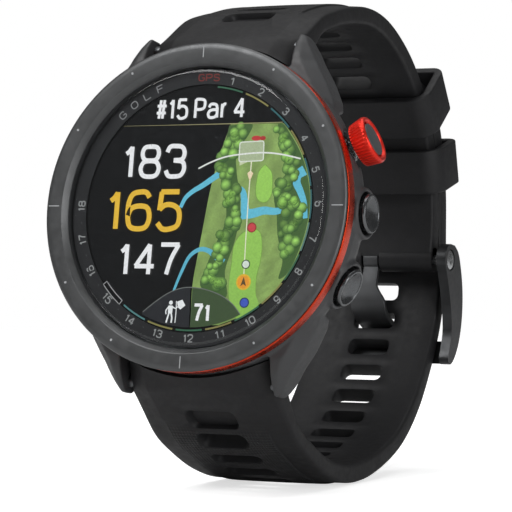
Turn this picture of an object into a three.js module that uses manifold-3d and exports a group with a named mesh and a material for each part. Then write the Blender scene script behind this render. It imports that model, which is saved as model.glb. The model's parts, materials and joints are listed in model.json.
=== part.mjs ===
// Golf GPS watch with its silicone strap fastened, standing on the loop of the strap.
//
// Everything is drawn in the watch's own directions: +X towards 3 o'clock, +Y from the lens to the
// wrist, +Z towards 12 o'clock, with the middle of the bezel's front face at zero. The finished watch
// then leans back by LEAN and is set down with the middle of its footprint at the origin.
// Millimetres.

import * as THREE from 'three';
import { mergeVertices } from 'three/addons/utils/BufferGeometryUtils.js';
import Module from 'manifold-3d';

const wasm = await Module();
wasm.setup();

// ---------- driving dimensions ----------

const LEAN = THREE.MathUtils.degToRad(9.1);
const GAP = 0.3; // clearance kept between pieces that touch

const BEZEL_RADIUS = 23.5;
const BEZEL_THICKNESS = 1.9;
const LENS_RADIUS = 19.9;
const LENS_FRONT = 0.5;
const LENS_THICKNESS = 1.3;
const DISPLAY_RADIUS = 18.2;

const CASE_RADIUS = 23.5;
const CASE_FRONT = 3.4;
const CASE_BACK = 10.3;
const CASE_BORE = 21.0;
const COVER_RADIUS = 19.6;
const COVER_BACK = 11.8;
const SENSOR_RADIUS = 8.0;
const SENSOR_BACK = 13.5;
const SCREW_CIRCLE = 18.3;

const LUG_REACH = 25.9; // half of the lug-to-lug length
const LUG_BAR_Y = 7.8;
const LUG_BAR_Z = 24.3;
const LUG_BAR_RADIUS = 0.75;

const BUTTON_Y = 6.9;
const BUTTON_ANGLES = { top: 23.7, middle: 0, bottom: -25.5 }; // degrees above 3 o'clock
const STEM_RADIUS = 1.0;
const CAP_UNDERSIDES = { top: 23.8, middle: 23.2, bottom: 23.2 }; // distance from the watch's middle
const CAP_WELL_RADII = { top: 3.3, middle: 3.0, bottom: 3.0 };
const BUSH_SEAT = 21.3;
const BUTTON_TRAVEL = 0.6;

const STRAP_HALF_LUG = 11.4;
const STRAP_HALF_TAIL = 10.7;
const STRAP_THICK = 3.2; // thickness in the middle
const STRAP_EDGE_LUG = 2.4; // thickness at the side edges, near the lugs
const STRAP_EDGE_TAIL = 2.9; // and round the wrist
const STRAP_BAND = 3.2; // width of the sloping band along each edge
const SLOT_WIDTH = 6.9;
const SLOT_HEIGHT = 2.8;
const SLOT_CORNER = 0.9;
const SLOT_PITCH = 5.0;
const BUCKLE_SLOT = 71.8; // how far along the long strap its fastened slot is

// The straps lie on each other along an arc at the back of the wrist, where the keepers slide.
const WRAP_CENTRE = new THREE.Vector2(38.5, 6.0);
const WRAP_RADIUS = 27.8;
const LAYER_PITCH = STRAP_THICK + GAP;

const PIN = new THREE.Vector2(68.0, 3.2);
const PIN_RADIUS = 0.8;
const EYELET_RADIUS = 2.0;
const BUCKLE_HALF = 13.5;
const BUCKLE_ARM = 1.8;
const TONGUE_HALF = 3.0;
const TONGUE_THICKNESS = 0.9;
const KNUCKLE_HALF = 1.3;

const KEEPER_ANGLES = { upper: 44.4, lower: 23.8 }; // degrees round the wrap arc
const KEEPER_HEIGHT = 7.2;
const KEEPER_WALL = 1.4;
const KEEPER_HALF = 12.7;
const KEEPER_INNER_FACE = -2.05; // measured outwards from the strap's wrist side
const KEEPER_OUTER_FACE = LAYER_PITCH + STRAP_THICK + GAP + KEEPER_WALL;
const KEEPER_INNER_CORNER = 3.4;
const KEEPER_OUTER_CORNER = 2.0;

// ---------- materials ----------

const material = (color, roughness, metalness = 0) =>
  new THREE.MeshStandardMaterial({ color, roughness, metalness });

const gunmetal = material(0x3c4043, 0.35, 0.9);
const polymer = material(0x2b2d2f, 0.6);
const silicone = material(0x17181a, 0.75);
const accent = material(0xd8401c, 0.45, 0.3);
const glass = material(0x0c0e10, 0.08);
const screen = material(0x101820, 0.2);
const darkSteel = material(0x2a2d2f, 0.35, 0.9);
const steel = material(0xb4b8bb, 0.3, 1);
const board = material(0x14452c, 0.6);
const foil = material(0x9aa0a4, 0.4, 0.8);
const gold = material(0xd8ae52, 0.3, 1);
const seal = material(0x202224, 0.85);

// ---------- solids ----------

const watch = new THREE.Group();

function signedVolume(positions, index) {
  const [a, b, c] = [new THREE.Vector3(), new THREE.Vector3(), new THREE.Vector3()];
  let volume = 0;
  for (let i = 0; i < index.length; i += 3) {
    a.fromArray(positions, 3 * index[i]);
    b.fromArray(positions, 3 * index[i + 1]);
    c.fromArray(positions, 3 * index[i + 2]);
    volume += a.dot(b.cross(c)) / 6;
  }
  return volume;
}

// A closed geometry as a solid that can be joined and cut. Faces that point inwards are turned round.
function solid(geometry) {
  const bare = geometry.clone();
  bare.deleteAttribute('normal');
  bare.deleteAttribute('uv');
  const merged = mergeVertices(bare, 1e-4);
  const vertProperties = new Float32Array(merged.attributes.position.array);
  const triVerts = new Uint32Array(merged.index.array);
  if (signedVolume(vertProperties, triVerts) < 0) {
    triVerts.reverse();
  }
  return new wasm.Manifold(new wasm.Mesh({ numProp: 3, vertProperties, triVerts }));
}

function toGeometry(manifold) {
  const { vertProperties, triVerts } = manifold.getMesh();
  const geometry = new THREE.BufferGeometry();
  geometry.setAttribute('position', new THREE.BufferAttribute(vertProperties, 3));
  geometry.setIndex(new THREE.BufferAttribute(triVerts, 1));
  geometry.computeVertexNormals();
  return geometry;
}

function add(name, manifold, finish) {
  const mesh = new THREE.Mesh(toGeometry(manifold), finish);
  mesh.name = name;
  watch.add(mesh);
}

// A solid of revolution about the watch's front-to-back axis, from a closed outline of [radius, y].
function turned(outline, segments = 40) {
  const points = outline.map(([radius, y]) => new THREE.Vector2(radius, y));
  if (outline[0][0] > 0) {
    points.push(points[0].clone());
  }
  return solid(new THREE.LatheGeometry(points, segments));
}

const ring = (inner, outer, y0, y1, segments = 32) =>
  turned([[inner, y0], [outer, y0], [outer, y1], [inner, y1]], segments);

const disc = (radius, y0, y1, segments = 40) =>
  turned([[0, y0], [radius, y0], [radius, y1], [0, y1]], segments);

function block(width, depth, height, x, y, z) {
  return solid(new THREE.BoxGeometry(width, depth, height).translate(x, y, z));
}

// A closed outline of [y, z] points, or a Shape of them, pushed out along X.
function sideProfile(outline, x0, x1) {
  const shape = outline instanceof THREE.Shape ? outline : new THREE.Shape(toVectors(outline));
  const options = { depth: x1 - x0, bevelEnabled: false, curveSegments: 6 };
  const geometry = new THREE.ExtrudeGeometry(shape, options);
  const basis = new THREE.Matrix4().set(0, 0, 1, x0, 1, 0, 0, 0, 0, 1, 0, 0, 0, 0, 0, 1);
  return solid(geometry.applyMatrix4(basis));
}

// A closed outline of [x, z] points pushed out along Y.
function frontProfile(outline, y0, y1) {
  const shape = new THREE.Shape(toVectors(outline));
  const geometry = new THREE.ExtrudeGeometry(shape, { depth: y1 - y0, bevelEnabled: false });
  const basis = new THREE.Matrix4().set(1, 0, 0, 0, 0, 0, 1, y0, 0, 1, 0, 0, 0, 0, 0, 1);
  return solid(geometry.applyMatrix4(basis));
}

const toVectors = (pairs) => pairs.map(([a, b]) => new THREE.Vector2(a, b));

// A rod along X, centred on the watch.
function crossRod(radius, half, y, z, segments = 16) {
  const geometry = new THREE.CylinderGeometry(radius, radius, 2 * half, segments);
  return solid(geometry.rotateZ(Math.PI / 2).translate(0, y, z));
}

// A turned piece whose own axis runs out of the case at one of the buttons. The outline is
// [radius, distance from the watch's middle].
function radialPiece(outline, degrees, segments = 16) {
  const points = outline.map(([radius, out]) => new THREE.Vector2(radius, out));
  if (outline[0][0] > 0) {
    points.push(points[0].clone());
  }
  return solid(placeRadially(new THREE.LatheGeometry(points, segments), degrees));
}

function placeRadially(geometry, degrees) {
  geometry.rotateZ(-Math.PI / 2);
  geometry.translate(0, BUTTON_Y, 0);
  return geometry.rotateY(-THREE.MathUtils.degToRad(degrees));
}

const mirrorUp = (pairs) => pairs.map(([a, b]) => [a, -b]);

// ---------- watch head ----------

function buildFace() {
  const bezel = turned([
    [20.2, 0.9], [20.9, 0], [22.8, 0], [23.3, 0.15], [BEZEL_RADIUS, 0.45], [23.2, 0.8], [22.9, 0.8],
    [22.0, BEZEL_THICKNESS], [20.2, BEZEL_THICKNESS],
  ], 60);
  add('bezel_ring', bezel, gunmetal);

  const lensBack = LENS_FRONT + LENS_THICKNESS;
  const lens = turned([
    [0, LENS_FRONT], [LENS_RADIUS - 0.4, LENS_FRONT], [LENS_RADIUS, LENS_FRONT + 0.4],
    [LENS_RADIUS, lensBack], [0, lensBack],
  ]);
  add('lens', lens, glass);
  add('lens_gasket', ring(18.8, 19.9, lensBack + GAP, lensBack + 0.8, 32), seal);
  add('display_panel', disc(DISPLAY_RADIUS, lensBack + GAP, lensBack + 1.2, 32), screen);

  const accentRing = turned([
    [22.3, BEZEL_THICKNESS + GAP], [23.1, 1.15], [23.35, 1.15], [23.45, 1.4],
    [23.45, CASE_FRONT - GAP], [22.3, CASE_FRONT - GAP],
  ], 60);
  add('accent_ring', accentRing, accent);
}

// One lug horn: its outline from the front, limited by its outline from the side.
function lugHorn(side, end) {
  const inner = STRAP_HALF_LUG + GAP;
  const front = [
    [inner, -12], [inner, -LUG_REACH], [12.5, -25.7], [13.5, -24.3], [16.9, -18.6], [18.9, -14.2],
    [17, -8],
  ];
  const edge = [
    [CASE_FRONT, -8], [3.9, -20.8], [5.2, -24.4], [6.6, -LUG_REACH], [9.2, -25.7],
    [11.0, -23.6], [11.3, -19], [CASE_BACK, -8],
  ];
  const turn = end > 0 ? mirrorUp : (pairs) => pairs;
  const seenFront = frontProfile(turn(front.map(([x, z]) => [side * x, z])), 0, 14);
  return seenFront.intersect(sideProfile(turn(edge), -20, 20));
}

function buildCase() {
  let shell = turned([
    [CASE_BORE, CASE_FRONT], [23.3, CASE_FRONT], [CASE_RADIUS, 4.2], [23.45, 6.3], [22.9, 8.1],
    [21.7, 9.7], [20.9, CASE_BACK], [15.6, CASE_BACK], [15.6, 8.8], [CASE_BORE, 8.8],
  ], 48);
  for (const side of [-1, 1]) {
    for (const end of [-1, 1]) {
      const cavity = disc(CASE_BORE + 0.8, 0, 8.8, 48);
      const coverSeat = disc(COVER_RADIUS + GAP, CASE_BACK, 14);
      const mouth = disc(15.6, 8.5, 14, 48);
      shell = shell.add(lugHorn(side, end).subtract(cavity).subtract(coverSeat).subtract(mouth));
    }
  }
  for (const [name, degrees] of Object.entries(BUTTON_ANGLES)) {
    const floor = CAP_UNDERSIDES[name] - BUTTON_TRAVEL - GAP;
    const wellRadius = CAP_WELL_RADII[name];
    const hole = [[0, 15], [2.9, 15], [2.9, floor], [wellRadius, floor], [wellRadius, 30], [0, 30]];
    shell = shell.subtract(radialPiece(hole, degrees, 24));
  }
  for (const end of [-1, 1]) {
    shell = shell.subtract(crossRod(LUG_BAR_RADIUS + GAP, 13.0, LUG_BAR_Y, end * LUG_BAR_Z));
  }
  for (const [x, z] of screwPlaces()) {
    shell = shell.subtract(disc(0.8, 8.4, 11, 12).translate([x, 0, z]));
  }
  add('case_body', shell, polymer);
  for (const [end, name] of [[1, 'upper'], [-1, 'lower']]) {
    add(`lug_bar_${name}`, crossRod(LUG_BAR_RADIUS, 12.7, LUG_BAR_Y, end * LUG_BAR_Z), darkSteel);
  }
}

function screwPlaces() {
  return [45, 135, 225, 315].map((degrees) => {
    const angle = THREE.MathUtils.degToRad(degrees);
    return [SCREW_CIRCLE * Math.cos(angle), SCREW_CIRCLE * Math.sin(angle)];
  });
}

function buildBack() {
  const port = { width: 8.4, height: 3.6, z: -12.2 };
  let cover = turned([
    [SENSOR_RADIUS + GAP, 11.0], [17.2, 11.0], [17.2, CASE_BACK + GAP], [COVER_RADIUS, CASE_BACK + GAP],
    [COVER_RADIUS, 11.3], [COVER_RADIUS - 0.5, COVER_BACK], [SENSOR_RADIUS + GAP, COVER_BACK],
  ]);
  cover = cover.subtract(block(port.width + 2 * GAP, 4, port.height + 2 * GAP, 0, 11.5, port.z));
  screwPlaces().forEach(([x, z], i) => {
    cover = cover.subtract(disc(0.8, 9, 13, 12).translate([x, 0, z]));
    cover = cover.subtract(disc(1.25, 11.05, 13, 16).translate([x, 0, z]));
    const outline = [[0, 9.1], [0.5, 9.1], [0.5, 11.4], [0.95, 11.4], [0.95, COVER_BACK], [0, COVER_BACK]];
    const screw = turned(outline, 16);
    const socket = disc(0.4, 11.5, 13, 6);
    add(`back_screw_${i + 1}`, screw.subtract(socket).translate([x, 0, z]), steel);
  });
  add('back_cover', cover, polymer);
  add('back_gasket', ring(15.9, 16.9, CASE_BACK + GAP, 10.75, 32), seal);

  const windowEdge = 12.3;
  const sensorWindow = turned([
    [0, 11.2], [SENSOR_RADIUS, 11.2], [SENSOR_RADIUS, windowEdge], [6.4, SENSOR_BACK], [0, SENSOR_BACK],
  ], 48);
  add('sensor_window', sensorWindow, glass);
  add('sensor_board', disc(7.4, 10.0, 10.8, 32), board);

  let charger = block(port.width, 1.6, port.height, 0, 11.0, port.z);
  charger = charger.subtract(block(port.width - 1.4, 1.2, port.height - 1.4, 0, COVER_BACK, port.z));
  for (let i = 0; i < 4; i += 1) {
    const x = (i - 1.5) * 1.7;
    charger = charger.subtract(disc(0.35 + GAP, 9, 13, 12).translate([x, 0, port.z]));
    add(`charge_contact_${i + 1}`, disc(0.35, 10.3, 11.5, 12).translate([x, 0, port.z]), gold);
  }
  add('charge_port', charger, polymer);
}

function buildInsides() {
  add('display_frame', ring(18.5, 20.4, 3.2, 4.3, 32), foil);
  add('gps_antenna', ring(16.4, 18.0, 3.6, 4.4, 32), gold);
  add('main_board', disc(15.8, 4.7, 5.4, 32), board);
  add('battery', disc(12.2, 6.1, 9.6, 40), foil);
  const motor = new THREE.CylinderGeometry(1.35, 1.35, 8, 20).rotateZ(Math.PI / 2).translate(0, 7.1, 14.0);
  add('vibration_motor', solid(motor), steel);
}

// ---------- buttons ----------

const outlineAbove = (base, pairs) => pairs.map(([radius, height]) => [radius, base + height]);

// A return spring from just under a button's cap to where it stays clear of the bush when pressed.
function coilSpring(degrees, capUnderside) {
  const [turns, coilRadius, wireRadius, clearance] = [2, 1.6, 0.15, 0.15];
  const from = BUSH_SEAT + BUTTON_TRAVEL + wireRadius + clearance;
  const to = capUnderside - wireRadius - clearance;
  class Coil extends THREE.Curve {
    getPoint(t, target = new THREE.Vector3()) {
      const angle = 2 * Math.PI * turns * t;
      return target.set(coilRadius * Math.cos(angle), from + (to - from) * t, coilRadius * Math.sin(angle));
    }
  }
  const wire = new THREE.Shape().absarc(0, 0, wireRadius, 0, 2 * Math.PI);
  const options = { steps: 24, extrudePath: new Coil(), bevelEnabled: false, curveSegments: 3 };
  return solid(placeRadially(new THREE.ExtrudeGeometry(wire, options), degrees));
}

function buildButton(name, degrees) {
  const capUnderside = CAP_UNDERSIDES[name];
  const bush = radialPiece([
    [1.25, 20.7], [2.6, 20.7], [2.6, 22.0], [2.2, 22.0], [2.2, BUSH_SEAT], [1.25, BUSH_SEAT],
  ], degrees);
  add(`button_${name}_bush`, bush, steel);
  add(`button_${name}_spring`, coilSpring(degrees, capUnderside), steel);
  const stemEnd = capUnderside - GAP;
  const stem = [[0, 18.9], [STEM_RADIUS, 18.9], [STEM_RADIUS, stemEnd], [0, stemEnd]];
  add(`button_${name}_stem`, radialPiece(stem, degrees), steel);
  const clip = radialPiece([[1.3, 19.9], [1.9, 19.9], [1.9, 20.4], [1.3, 20.4]], degrees, 16);
  add(`button_${name}_clip`, clip, steel);

  const switchBody = new THREE.BoxGeometry(1.5, 2.6, 3.0).translate(17.4, BUTTON_Y, 0);
  switchBody.rotateY(-THREE.MathUtils.degToRad(degrees));
  add(`button_${name}_switch`, solid(switchBody), foil);
}

function buildButtons() {
  for (const [name, degrees] of Object.entries(BUTTON_ANGLES)) {
    buildButton(name, degrees);
  }
  const bowlCap = outlineAbove(CAP_UNDERSIDES.middle, [
    [0, 0], [2.5, 0], [2.7, 0.2], [2.7, 0.8], [2.85, 1.0], [2.85, 1.2], [2.65, 1.4], [2.2, 1.4],
    [1.6, 0.7], [0, 0.6],
  ]);
  add('button_middle_cap', radialPiece(bowlCap, BUTTON_ANGLES.middle, 20), darkSteel);
  add('button_bottom_cap', radialPiece(bowlCap, BUTTON_ANGLES.bottom, 20), darkSteel);
  const flatCap = outlineAbove(CAP_UNDERSIDES.top, [[0, 0], [2.4, 0], [2.4, 2.9], [2.2, 3.1], [0, 3.1]]);
  add('button_top_cap', radialPiece(flatCap, BUTTON_ANGLES.top, 20), darkSteel);
  const redRing = outlineAbove(CAP_UNDERSIDES.top, [
    [2.7, 0.3], [2.9, 0], [3.1, 0.2], [3.45, 2.3], [3.1, 2.8], [2.7, 2.8],
  ]);
  add('button_top_ring', radialPiece(redRing, BUTTON_ANGLES.top, 20), accent);
}

// ---------- straps ----------

// Points on an arc of the wrap, from one angle to another, in degrees.
function wrapPoints(radius, from, to, count) {
  return Array.from({ length: count }, (_, i) => {
    const angle = THREE.MathUtils.degToRad(from + ((to - from) * i) / (count - 1));
    return [WRAP_CENTRE.x + radius * Math.cos(angle), WRAP_CENTRE.y + radius * Math.sin(angle)];
  });
}

// The wrist side of each strap, seen from the side, from its lug to its other end, as [y, z].
const upperPath = sidePath([
  [12.4, 24.6], [15.7, 28.1], [20.4, 30.3], [27.5, 32.6], [35.0, 34.0], [41.5, 33.8],
  ...wrapPoints(WRAP_RADIUS, 72, -5, 9),
]);
const lowerPath = sidePath([
  [12.2, -24.6], [16.5, -28.6], [22.3, -30.9], [29, -32.5], [36, -32.8], [43.5, -31.6], [51, -28.9],
  [57.5, -25.3], [63, -19.8], [67.1, -13], [69.8, -6.5], [70.8, -0.5],
  ...wrapPoints(WRAP_RADIUS + LAYER_PITCH, 6, 52, 6),
]);

function sidePath(pairs) {
  const points = pairs.map(([y, z]) => new THREE.Vector3(0, y, z));
  const path = new THREE.CatmullRomCurve3(points, false, 'centripetal');
  path.arcLengthDivisions = 600;
  return path;
}

// Where a strap is at a distance along its path, with the directions along it and away from the wrist.
function stationAt(path, distance) {
  const t = Math.min(1, distance / path.getLength());
  const at = path.getPointAt(t);
  const along = path.getTangentAt(t);
  const out = new THREE.Vector3(0, along.z, -along.y);
  const fromWrist = new THREE.Vector3(0, at.y - 30, at.z);
  if (out.dot(fromWrist) < 0) {
    out.negate();
  }
  return { at, along, out };
}

// How thick a strap is at its side edges.
function edgeThickness(distance) {
  return THREE.MathUtils.lerp(STRAP_EDGE_LUG, STRAP_EDGE_TAIL, THREE.MathUtils.smoothstep(distance, 12, 36));
}

// The strap as one closed band: the same eight-sided section, swept along its path.
function sweptStrap(path, steps, halfWidthAt) {
  const positions = [];
  const index = [];
  const length = path.getLength();
  for (let i = 0; i <= steps; i += 1) {
    const distance = (length * i) / steps;
    const { at, out } = stationAt(path, distance);
    const half = halfWidthAt(distance, length);
    const band = Math.min(STRAP_BAND, half / 2);
    const edge = edgeThickness(distance);
    const section = [
      [-half, 0.4], [0.4 - half, 0], [half - 0.4, 0], [half, 0.4],
      [half, edge], [half - band, STRAP_THICK], [band - half, STRAP_THICK], [-half, edge],
    ];
    for (const [x, n] of section) {
      positions.push(x, at.y + n * out.y, at.z + n * out.z);
    }
  }
  const sides = 8;
  for (let i = 0; i < steps; i += 1) {
    for (let j = 0; j < sides; j += 1) {
      const [a, b] = [i * sides + j, i * sides + ((j + 1) % sides)];
      index.push(a, b, b + sides, a, b + sides, a + sides);
    }
  }
  const last = steps * sides;
  for (let j = 1; j < sides - 1; j += 1) {
    index.push(0, j + 1, j, last, last + j, last + j + 1);
  }
  const geometry = new THREE.BufferGeometry();
  geometry.setAttribute('position', new THREE.Float32BufferAttribute(positions, 3));
  geometry.setIndex(index);
  return solid(geometry);
}

// Moves a geometry drawn as [across, along, out] to a place on a strap.
function onStrap(geometry, path, distance) {
  const { at, along, out } = stationAt(path, distance);
  const across = new THREE.Vector3().crossVectors(along, out);
  return geometry.applyMatrix4(new THREE.Matrix4().makeBasis(across, along, out).setPosition(at));
}

// A slot through a strap. With a floor, it is only a recess in the outer face, that far from the wrist.
function ventSlot(path, distance, floor = -2) {
  const outline = new THREE.Shape();
  roundedRectangle(outline, SLOT_WIDTH / 2, -SLOT_HEIGHT / 2, SLOT_HEIGHT / 2, SLOT_CORNER);
  const geometry = new THREE.ExtrudeGeometry(outline, { depth: 8, bevelEnabled: false, curveSegments: 1 });
  return solid(onStrap(geometry.translate(0, 0, floor), path, distance));
}

// The thick end of a strap that fills the space between two lugs.
function strapHead(end) {
  const outline = [
    [3.9, -20.2], [3.9, -23.5], [5.4, -25.0], [8.6, -27.1], [11.6, -28.7], [14.2, -29.4], [14.6, -27.0],
    [11.2, -22.4], [11.2, -20.2],
  ];
  return sideProfile(end > 0 ? mirrorUp(outline) : outline, -STRAP_HALF_LUG, STRAP_HALF_LUG);
}

const LATCH = { at: 2.6, width: 10.6, length: 4.4, depth: 1.5 };
const RECESS = { at: 3.0, floor: 2.2 };

function buildLatch(name, path) {
  const plate = new THREE.BoxGeometry(LATCH.width - 2 * GAP, LATCH.length - 2 * GAP, 0.5);
  plate.translate(0, 0, 1.0);
  add(`latch_plate_${name}`, solid(onStrap(plate, path, LATCH.at)), steel);
  let slider = new THREE.BoxGeometry(6.4, 2.2, 0.9).translate(0, -0.6, 0.1);
  slider = solid(onStrap(slider, path, LATCH.at));
  for (const along of [-1.1, -0.1]) {
    const groove = new THREE.BoxGeometry(5.2, 0.4, 0.5).translate(0, along, -0.35);
    slider = slider.subtract(solid(onStrap(groove, path, LATCH.at)));
  }
  add(`latch_slider_${name}`, slider, darkSteel);
}

function buildStrap(name, end, path, steps, halfWidthAt, slots) {
  let strap = sweptStrap(path, steps, halfWidthAt).add(strapHead(end));
  strap = strap.subtract(disc(CASE_RADIUS + 0.4, -2, 9.0, 64));
  strap = strap.subtract(turned([[0, 8.9], [23.9, 8.9], [22.3, 11], [22.3, 14], [0, 14]], 64));
  strap = strap.subtract(crossRod(LUG_BAR_RADIUS + GAP, 14, LUG_BAR_Y, end * LUG_BAR_Z));
  for (const distance of slots) {
    strap = strap.subtract(ventSlot(path, distance));
  }
  strap = strap.subtract(ventSlot(path, RECESS.at, RECESS.floor));
  const pocket = new THREE.BoxGeometry(LATCH.width, LATCH.length, 2 * LATCH.depth);
  return strap.subtract(solid(onStrap(pocket, path, LATCH.at)));
}

const slotRow = (first, count) => Array.from({ length: count }, (_, i) => first + i * SLOT_PITCH);

function taper(distance) {
  const share = THREE.MathUtils.smoothstep(distance, 4, 40);
  return THREE.MathUtils.lerp(STRAP_HALF_LUG, STRAP_HALF_TAIL, share);
}

function roundedTip(distance, length) {
  const left = THREE.MathUtils.clamp((length - distance) / 7, 0, 1);
  return taper(distance) * (0.45 + 0.55 * Math.sqrt(1 - (1 - left) ** 2));
}

function buildStraps() {
  let upper = buildStrap('upper', 1, upperPath, 34, taper, slotRow(9.3, 8));
  const eyelet = crossRod(EYELET_RADIUS, STRAP_HALF_TAIL, PIN.x, PIN.y, 24);
  upper = upper.add(eyelet);
  upper = upper.subtract(crossRod(PIN_RADIUS + GAP, 14, PIN.x, PIN.y, 20));
  const notch = block(2 * (KNUCKLE_HALF + GAP), 9, 9.0, 0, PIN.x - 0.5, PIN.y - 1.9);
  upper = upper.subtract(notch);
  add('strap_upper', upper, silicone);
  buildLatch('upper', upperPath);

  const lowerSlots = slotRow(BUCKLE_SLOT - 13 * SLOT_PITCH, 20);
  const lower = buildStrap('lower', -1, lowerPath, 50, roundedTip, lowerSlots);
  add('strap_lower', lower, silicone);
  buildLatch('lower', lowerPath);
}

// ---------- buckle and keepers ----------

function buildBuckle() {
  const outline = new THREE.Shape();
  outline.moveTo(66.4, 1.1);
  outline.splineThru(toVectors([
    [68.3, -2.3], [69.7, -5.5], [70.3, -8.3], [69.7, -11.4], [69.4, -12.9], [70.3, -13.6], [71.6, -13.0],
    [73.1, -11.2], [74.2, -8.6], [74.7, -5.0], [74.2, -0.9], [72.9, 2.4], [71.2, 4.9], [69.4, 5.8],
  ]));
  outline.absarc(PIN.x, PIN.y, 2.6, Math.PI * 0.5, Math.PI * 1.2);
  let frame = sideProfile(outline, -BUCKLE_HALF, BUCKLE_HALF);
  const inside = BUCKLE_HALF - BUCKLE_ARM;
  const clearOfTail = [[60, -16], [69.8, -16], [71.0, -13.1], [72.4, -9.6], [80, -9.6], [80, 20], [60, 20]];
  frame = frame.subtract(sideProfile(clearOfTail, -inside, inside));
  frame = frame.subtract(crossRod(PIN_RADIUS + GAP, 12.7, PIN.x, PIN.y, 20));
  frame = frame.subtract(block(2 * (TONGUE_HALF + 0.4), 3, 8, 0, 74.0, -11.5));
  add('buckle_frame', frame, darkSteel);
  add('buckle_pin', crossRod(PIN_RADIUS, 12.4, PIN.x, PIN.y, 20), steel);
}

function buildTongue() {
  const middle = new THREE.CatmullRomCurve3([
    [67.2, 1.75], [66.7, -1.5], [67.0, -4.6], [68.7, -6.2], [71.0, -6.95], [73.0, -7.7], [73.9, -9.2],
    [73.2, -12.6],
  ].map(([y, z]) => new THREE.Vector3(0, y, z)));
  const [left, right] = [[], []];
  for (let i = 0; i <= 16; i += 1) {
    const at = middle.getPointAt(i / 16);
    const along = middle.getTangentAt(i / 16);
    const half = TONGUE_THICKNESS / 2;
    left.push([at.y - half * along.z, at.z + half * along.y]);
    right.unshift([at.y + half * along.z, at.z - half * along.y]);
  }
  const blade = sideProfile([...left, ...right], -TONGUE_HALF, TONGUE_HALF);
  const width = [
    [-KNUCKLE_HALF, 8], [KNUCKLE_HALF, 8], [KNUCKLE_HALF, -0.5], [TONGUE_HALF, -4.5], [TONGUE_HALF, -15],
    [-TONGUE_HALF, -15], [-TONGUE_HALF, -4.5], [-KNUCKLE_HALF, -0.5],
  ];
  const knuckle = crossRod(1.75, KNUCKLE_HALF, PIN.x, PIN.y, 20);
  let tongue = blade.intersect(frontProfile(width, 60, 80)).add(knuckle);
  tongue = tongue.subtract(crossRod(PIN_RADIUS + GAP, 5, PIN.x, PIN.y, 20));
  add('buckle_tongue', tongue, darkSteel);
}

function roundedRectangle(shape, half, low, high, lowRadius, highRadius = lowRadius) {
  shape.moveTo(half, low + lowRadius);
  shape.lineTo(half, high - highRadius);
  shape.absarc(half - highRadius, high - highRadius, highRadius, 0, Math.PI / 2);
  shape.absarc(highRadius - half, high - highRadius, highRadius, Math.PI / 2, Math.PI);
  shape.absarc(lowRadius - half, low + lowRadius, lowRadius, Math.PI, 1.5 * Math.PI);
  shape.absarc(half - lowRadius, low + lowRadius, lowRadius, 1.5 * Math.PI, 2 * Math.PI);
  return shape;
}

function buildKeeper(name, degrees) {
  const outer = new THREE.Shape();
  const corners = [KEEPER_INNER_CORNER, KEEPER_OUTER_CORNER];
  roundedRectangle(outer, KEEPER_HALF, KEEPER_INNER_FACE, KEEPER_OUTER_FACE, ...corners);
  const hole = new THREE.Path();
  const [holeLow, holeHigh] = [KEEPER_INNER_FACE + KEEPER_WALL, KEEPER_OUTER_FACE - KEEPER_WALL];
  roundedRectangle(hole, KEEPER_HALF - KEEPER_WALL, holeLow, holeHigh, 1.4, 0.5);
  outer.holes.push(hole);
  const options = { depth: KEEPER_HEIGHT, bevelEnabled: false, curveSegments: 5 };
  const geometry = new THREE.ExtrudeGeometry(outer, options);
  geometry.translate(0, 0, -KEEPER_HEIGHT / 2);
  const angle = THREE.MathUtils.degToRad(degrees);
  const out = new THREE.Vector3(0, Math.cos(angle), Math.sin(angle));
  const along = new THREE.Vector3(0, -Math.sin(angle), Math.cos(angle));
  const place = new THREE.Matrix4().makeBasis(new THREE.Vector3(1, 0, 0), out, along);
  place.setPosition(0, WRAP_CENTRE.x + WRAP_RADIUS * out.y, WRAP_CENTRE.y + WRAP_RADIUS * out.z);
  add(`keeper_${name}`, solid(geometry.applyMatrix4(place)), silicone);
}

// ---------- assembly ----------

buildFace();
buildCase();
buildBack();
buildInsides();
buildButtons();
buildStraps();
buildBuckle();
buildTongue();
for (const [name, degrees] of Object.entries(KEEPER_ANGLES)) {
  buildKeeper(name, degrees);
}

const part = new THREE.Group();
part.add(watch);
watch.rotation.x = -LEAN;
part.updateMatrixWorld(true);
const bounds = new THREE.Box3().setFromObject(part, true);
const middle = bounds.getCenter(new THREE.Vector3());
watch.position.set(-middle.x, -middle.y, -bounds.min.z);

export default part;
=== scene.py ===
"""Looks of the golf GPS watch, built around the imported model.

Every piece is drawn in the watch's own directions and in millimetres: x towards 3 o'clock, y from the
lens to the wrist, z towards 12 o'clock, from the middle of the bezel's front face. WATCH turns those into
the frame's metres. The strap paths and the dimensions below repeat those of the model's source.
"""

import json
import math
import random

import bmesh
import bpy
import numpy as np
from mathutils import Matrix, Vector
from mathutils.geometry import tessellate_polygon


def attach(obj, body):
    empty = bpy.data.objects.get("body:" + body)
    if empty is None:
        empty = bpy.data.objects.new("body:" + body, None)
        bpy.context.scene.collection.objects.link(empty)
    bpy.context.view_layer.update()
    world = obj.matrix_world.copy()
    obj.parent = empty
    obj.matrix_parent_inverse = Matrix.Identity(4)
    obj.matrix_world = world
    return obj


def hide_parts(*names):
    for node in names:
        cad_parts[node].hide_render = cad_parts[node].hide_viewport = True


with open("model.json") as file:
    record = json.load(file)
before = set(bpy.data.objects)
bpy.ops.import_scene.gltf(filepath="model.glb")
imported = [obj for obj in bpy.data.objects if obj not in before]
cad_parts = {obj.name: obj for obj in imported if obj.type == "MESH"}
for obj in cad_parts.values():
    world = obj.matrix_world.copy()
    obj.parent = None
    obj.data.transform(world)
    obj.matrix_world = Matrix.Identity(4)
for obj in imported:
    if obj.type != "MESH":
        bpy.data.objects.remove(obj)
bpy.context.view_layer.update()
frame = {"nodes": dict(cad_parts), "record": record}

# ---------- the watch's own directions ----------

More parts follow.
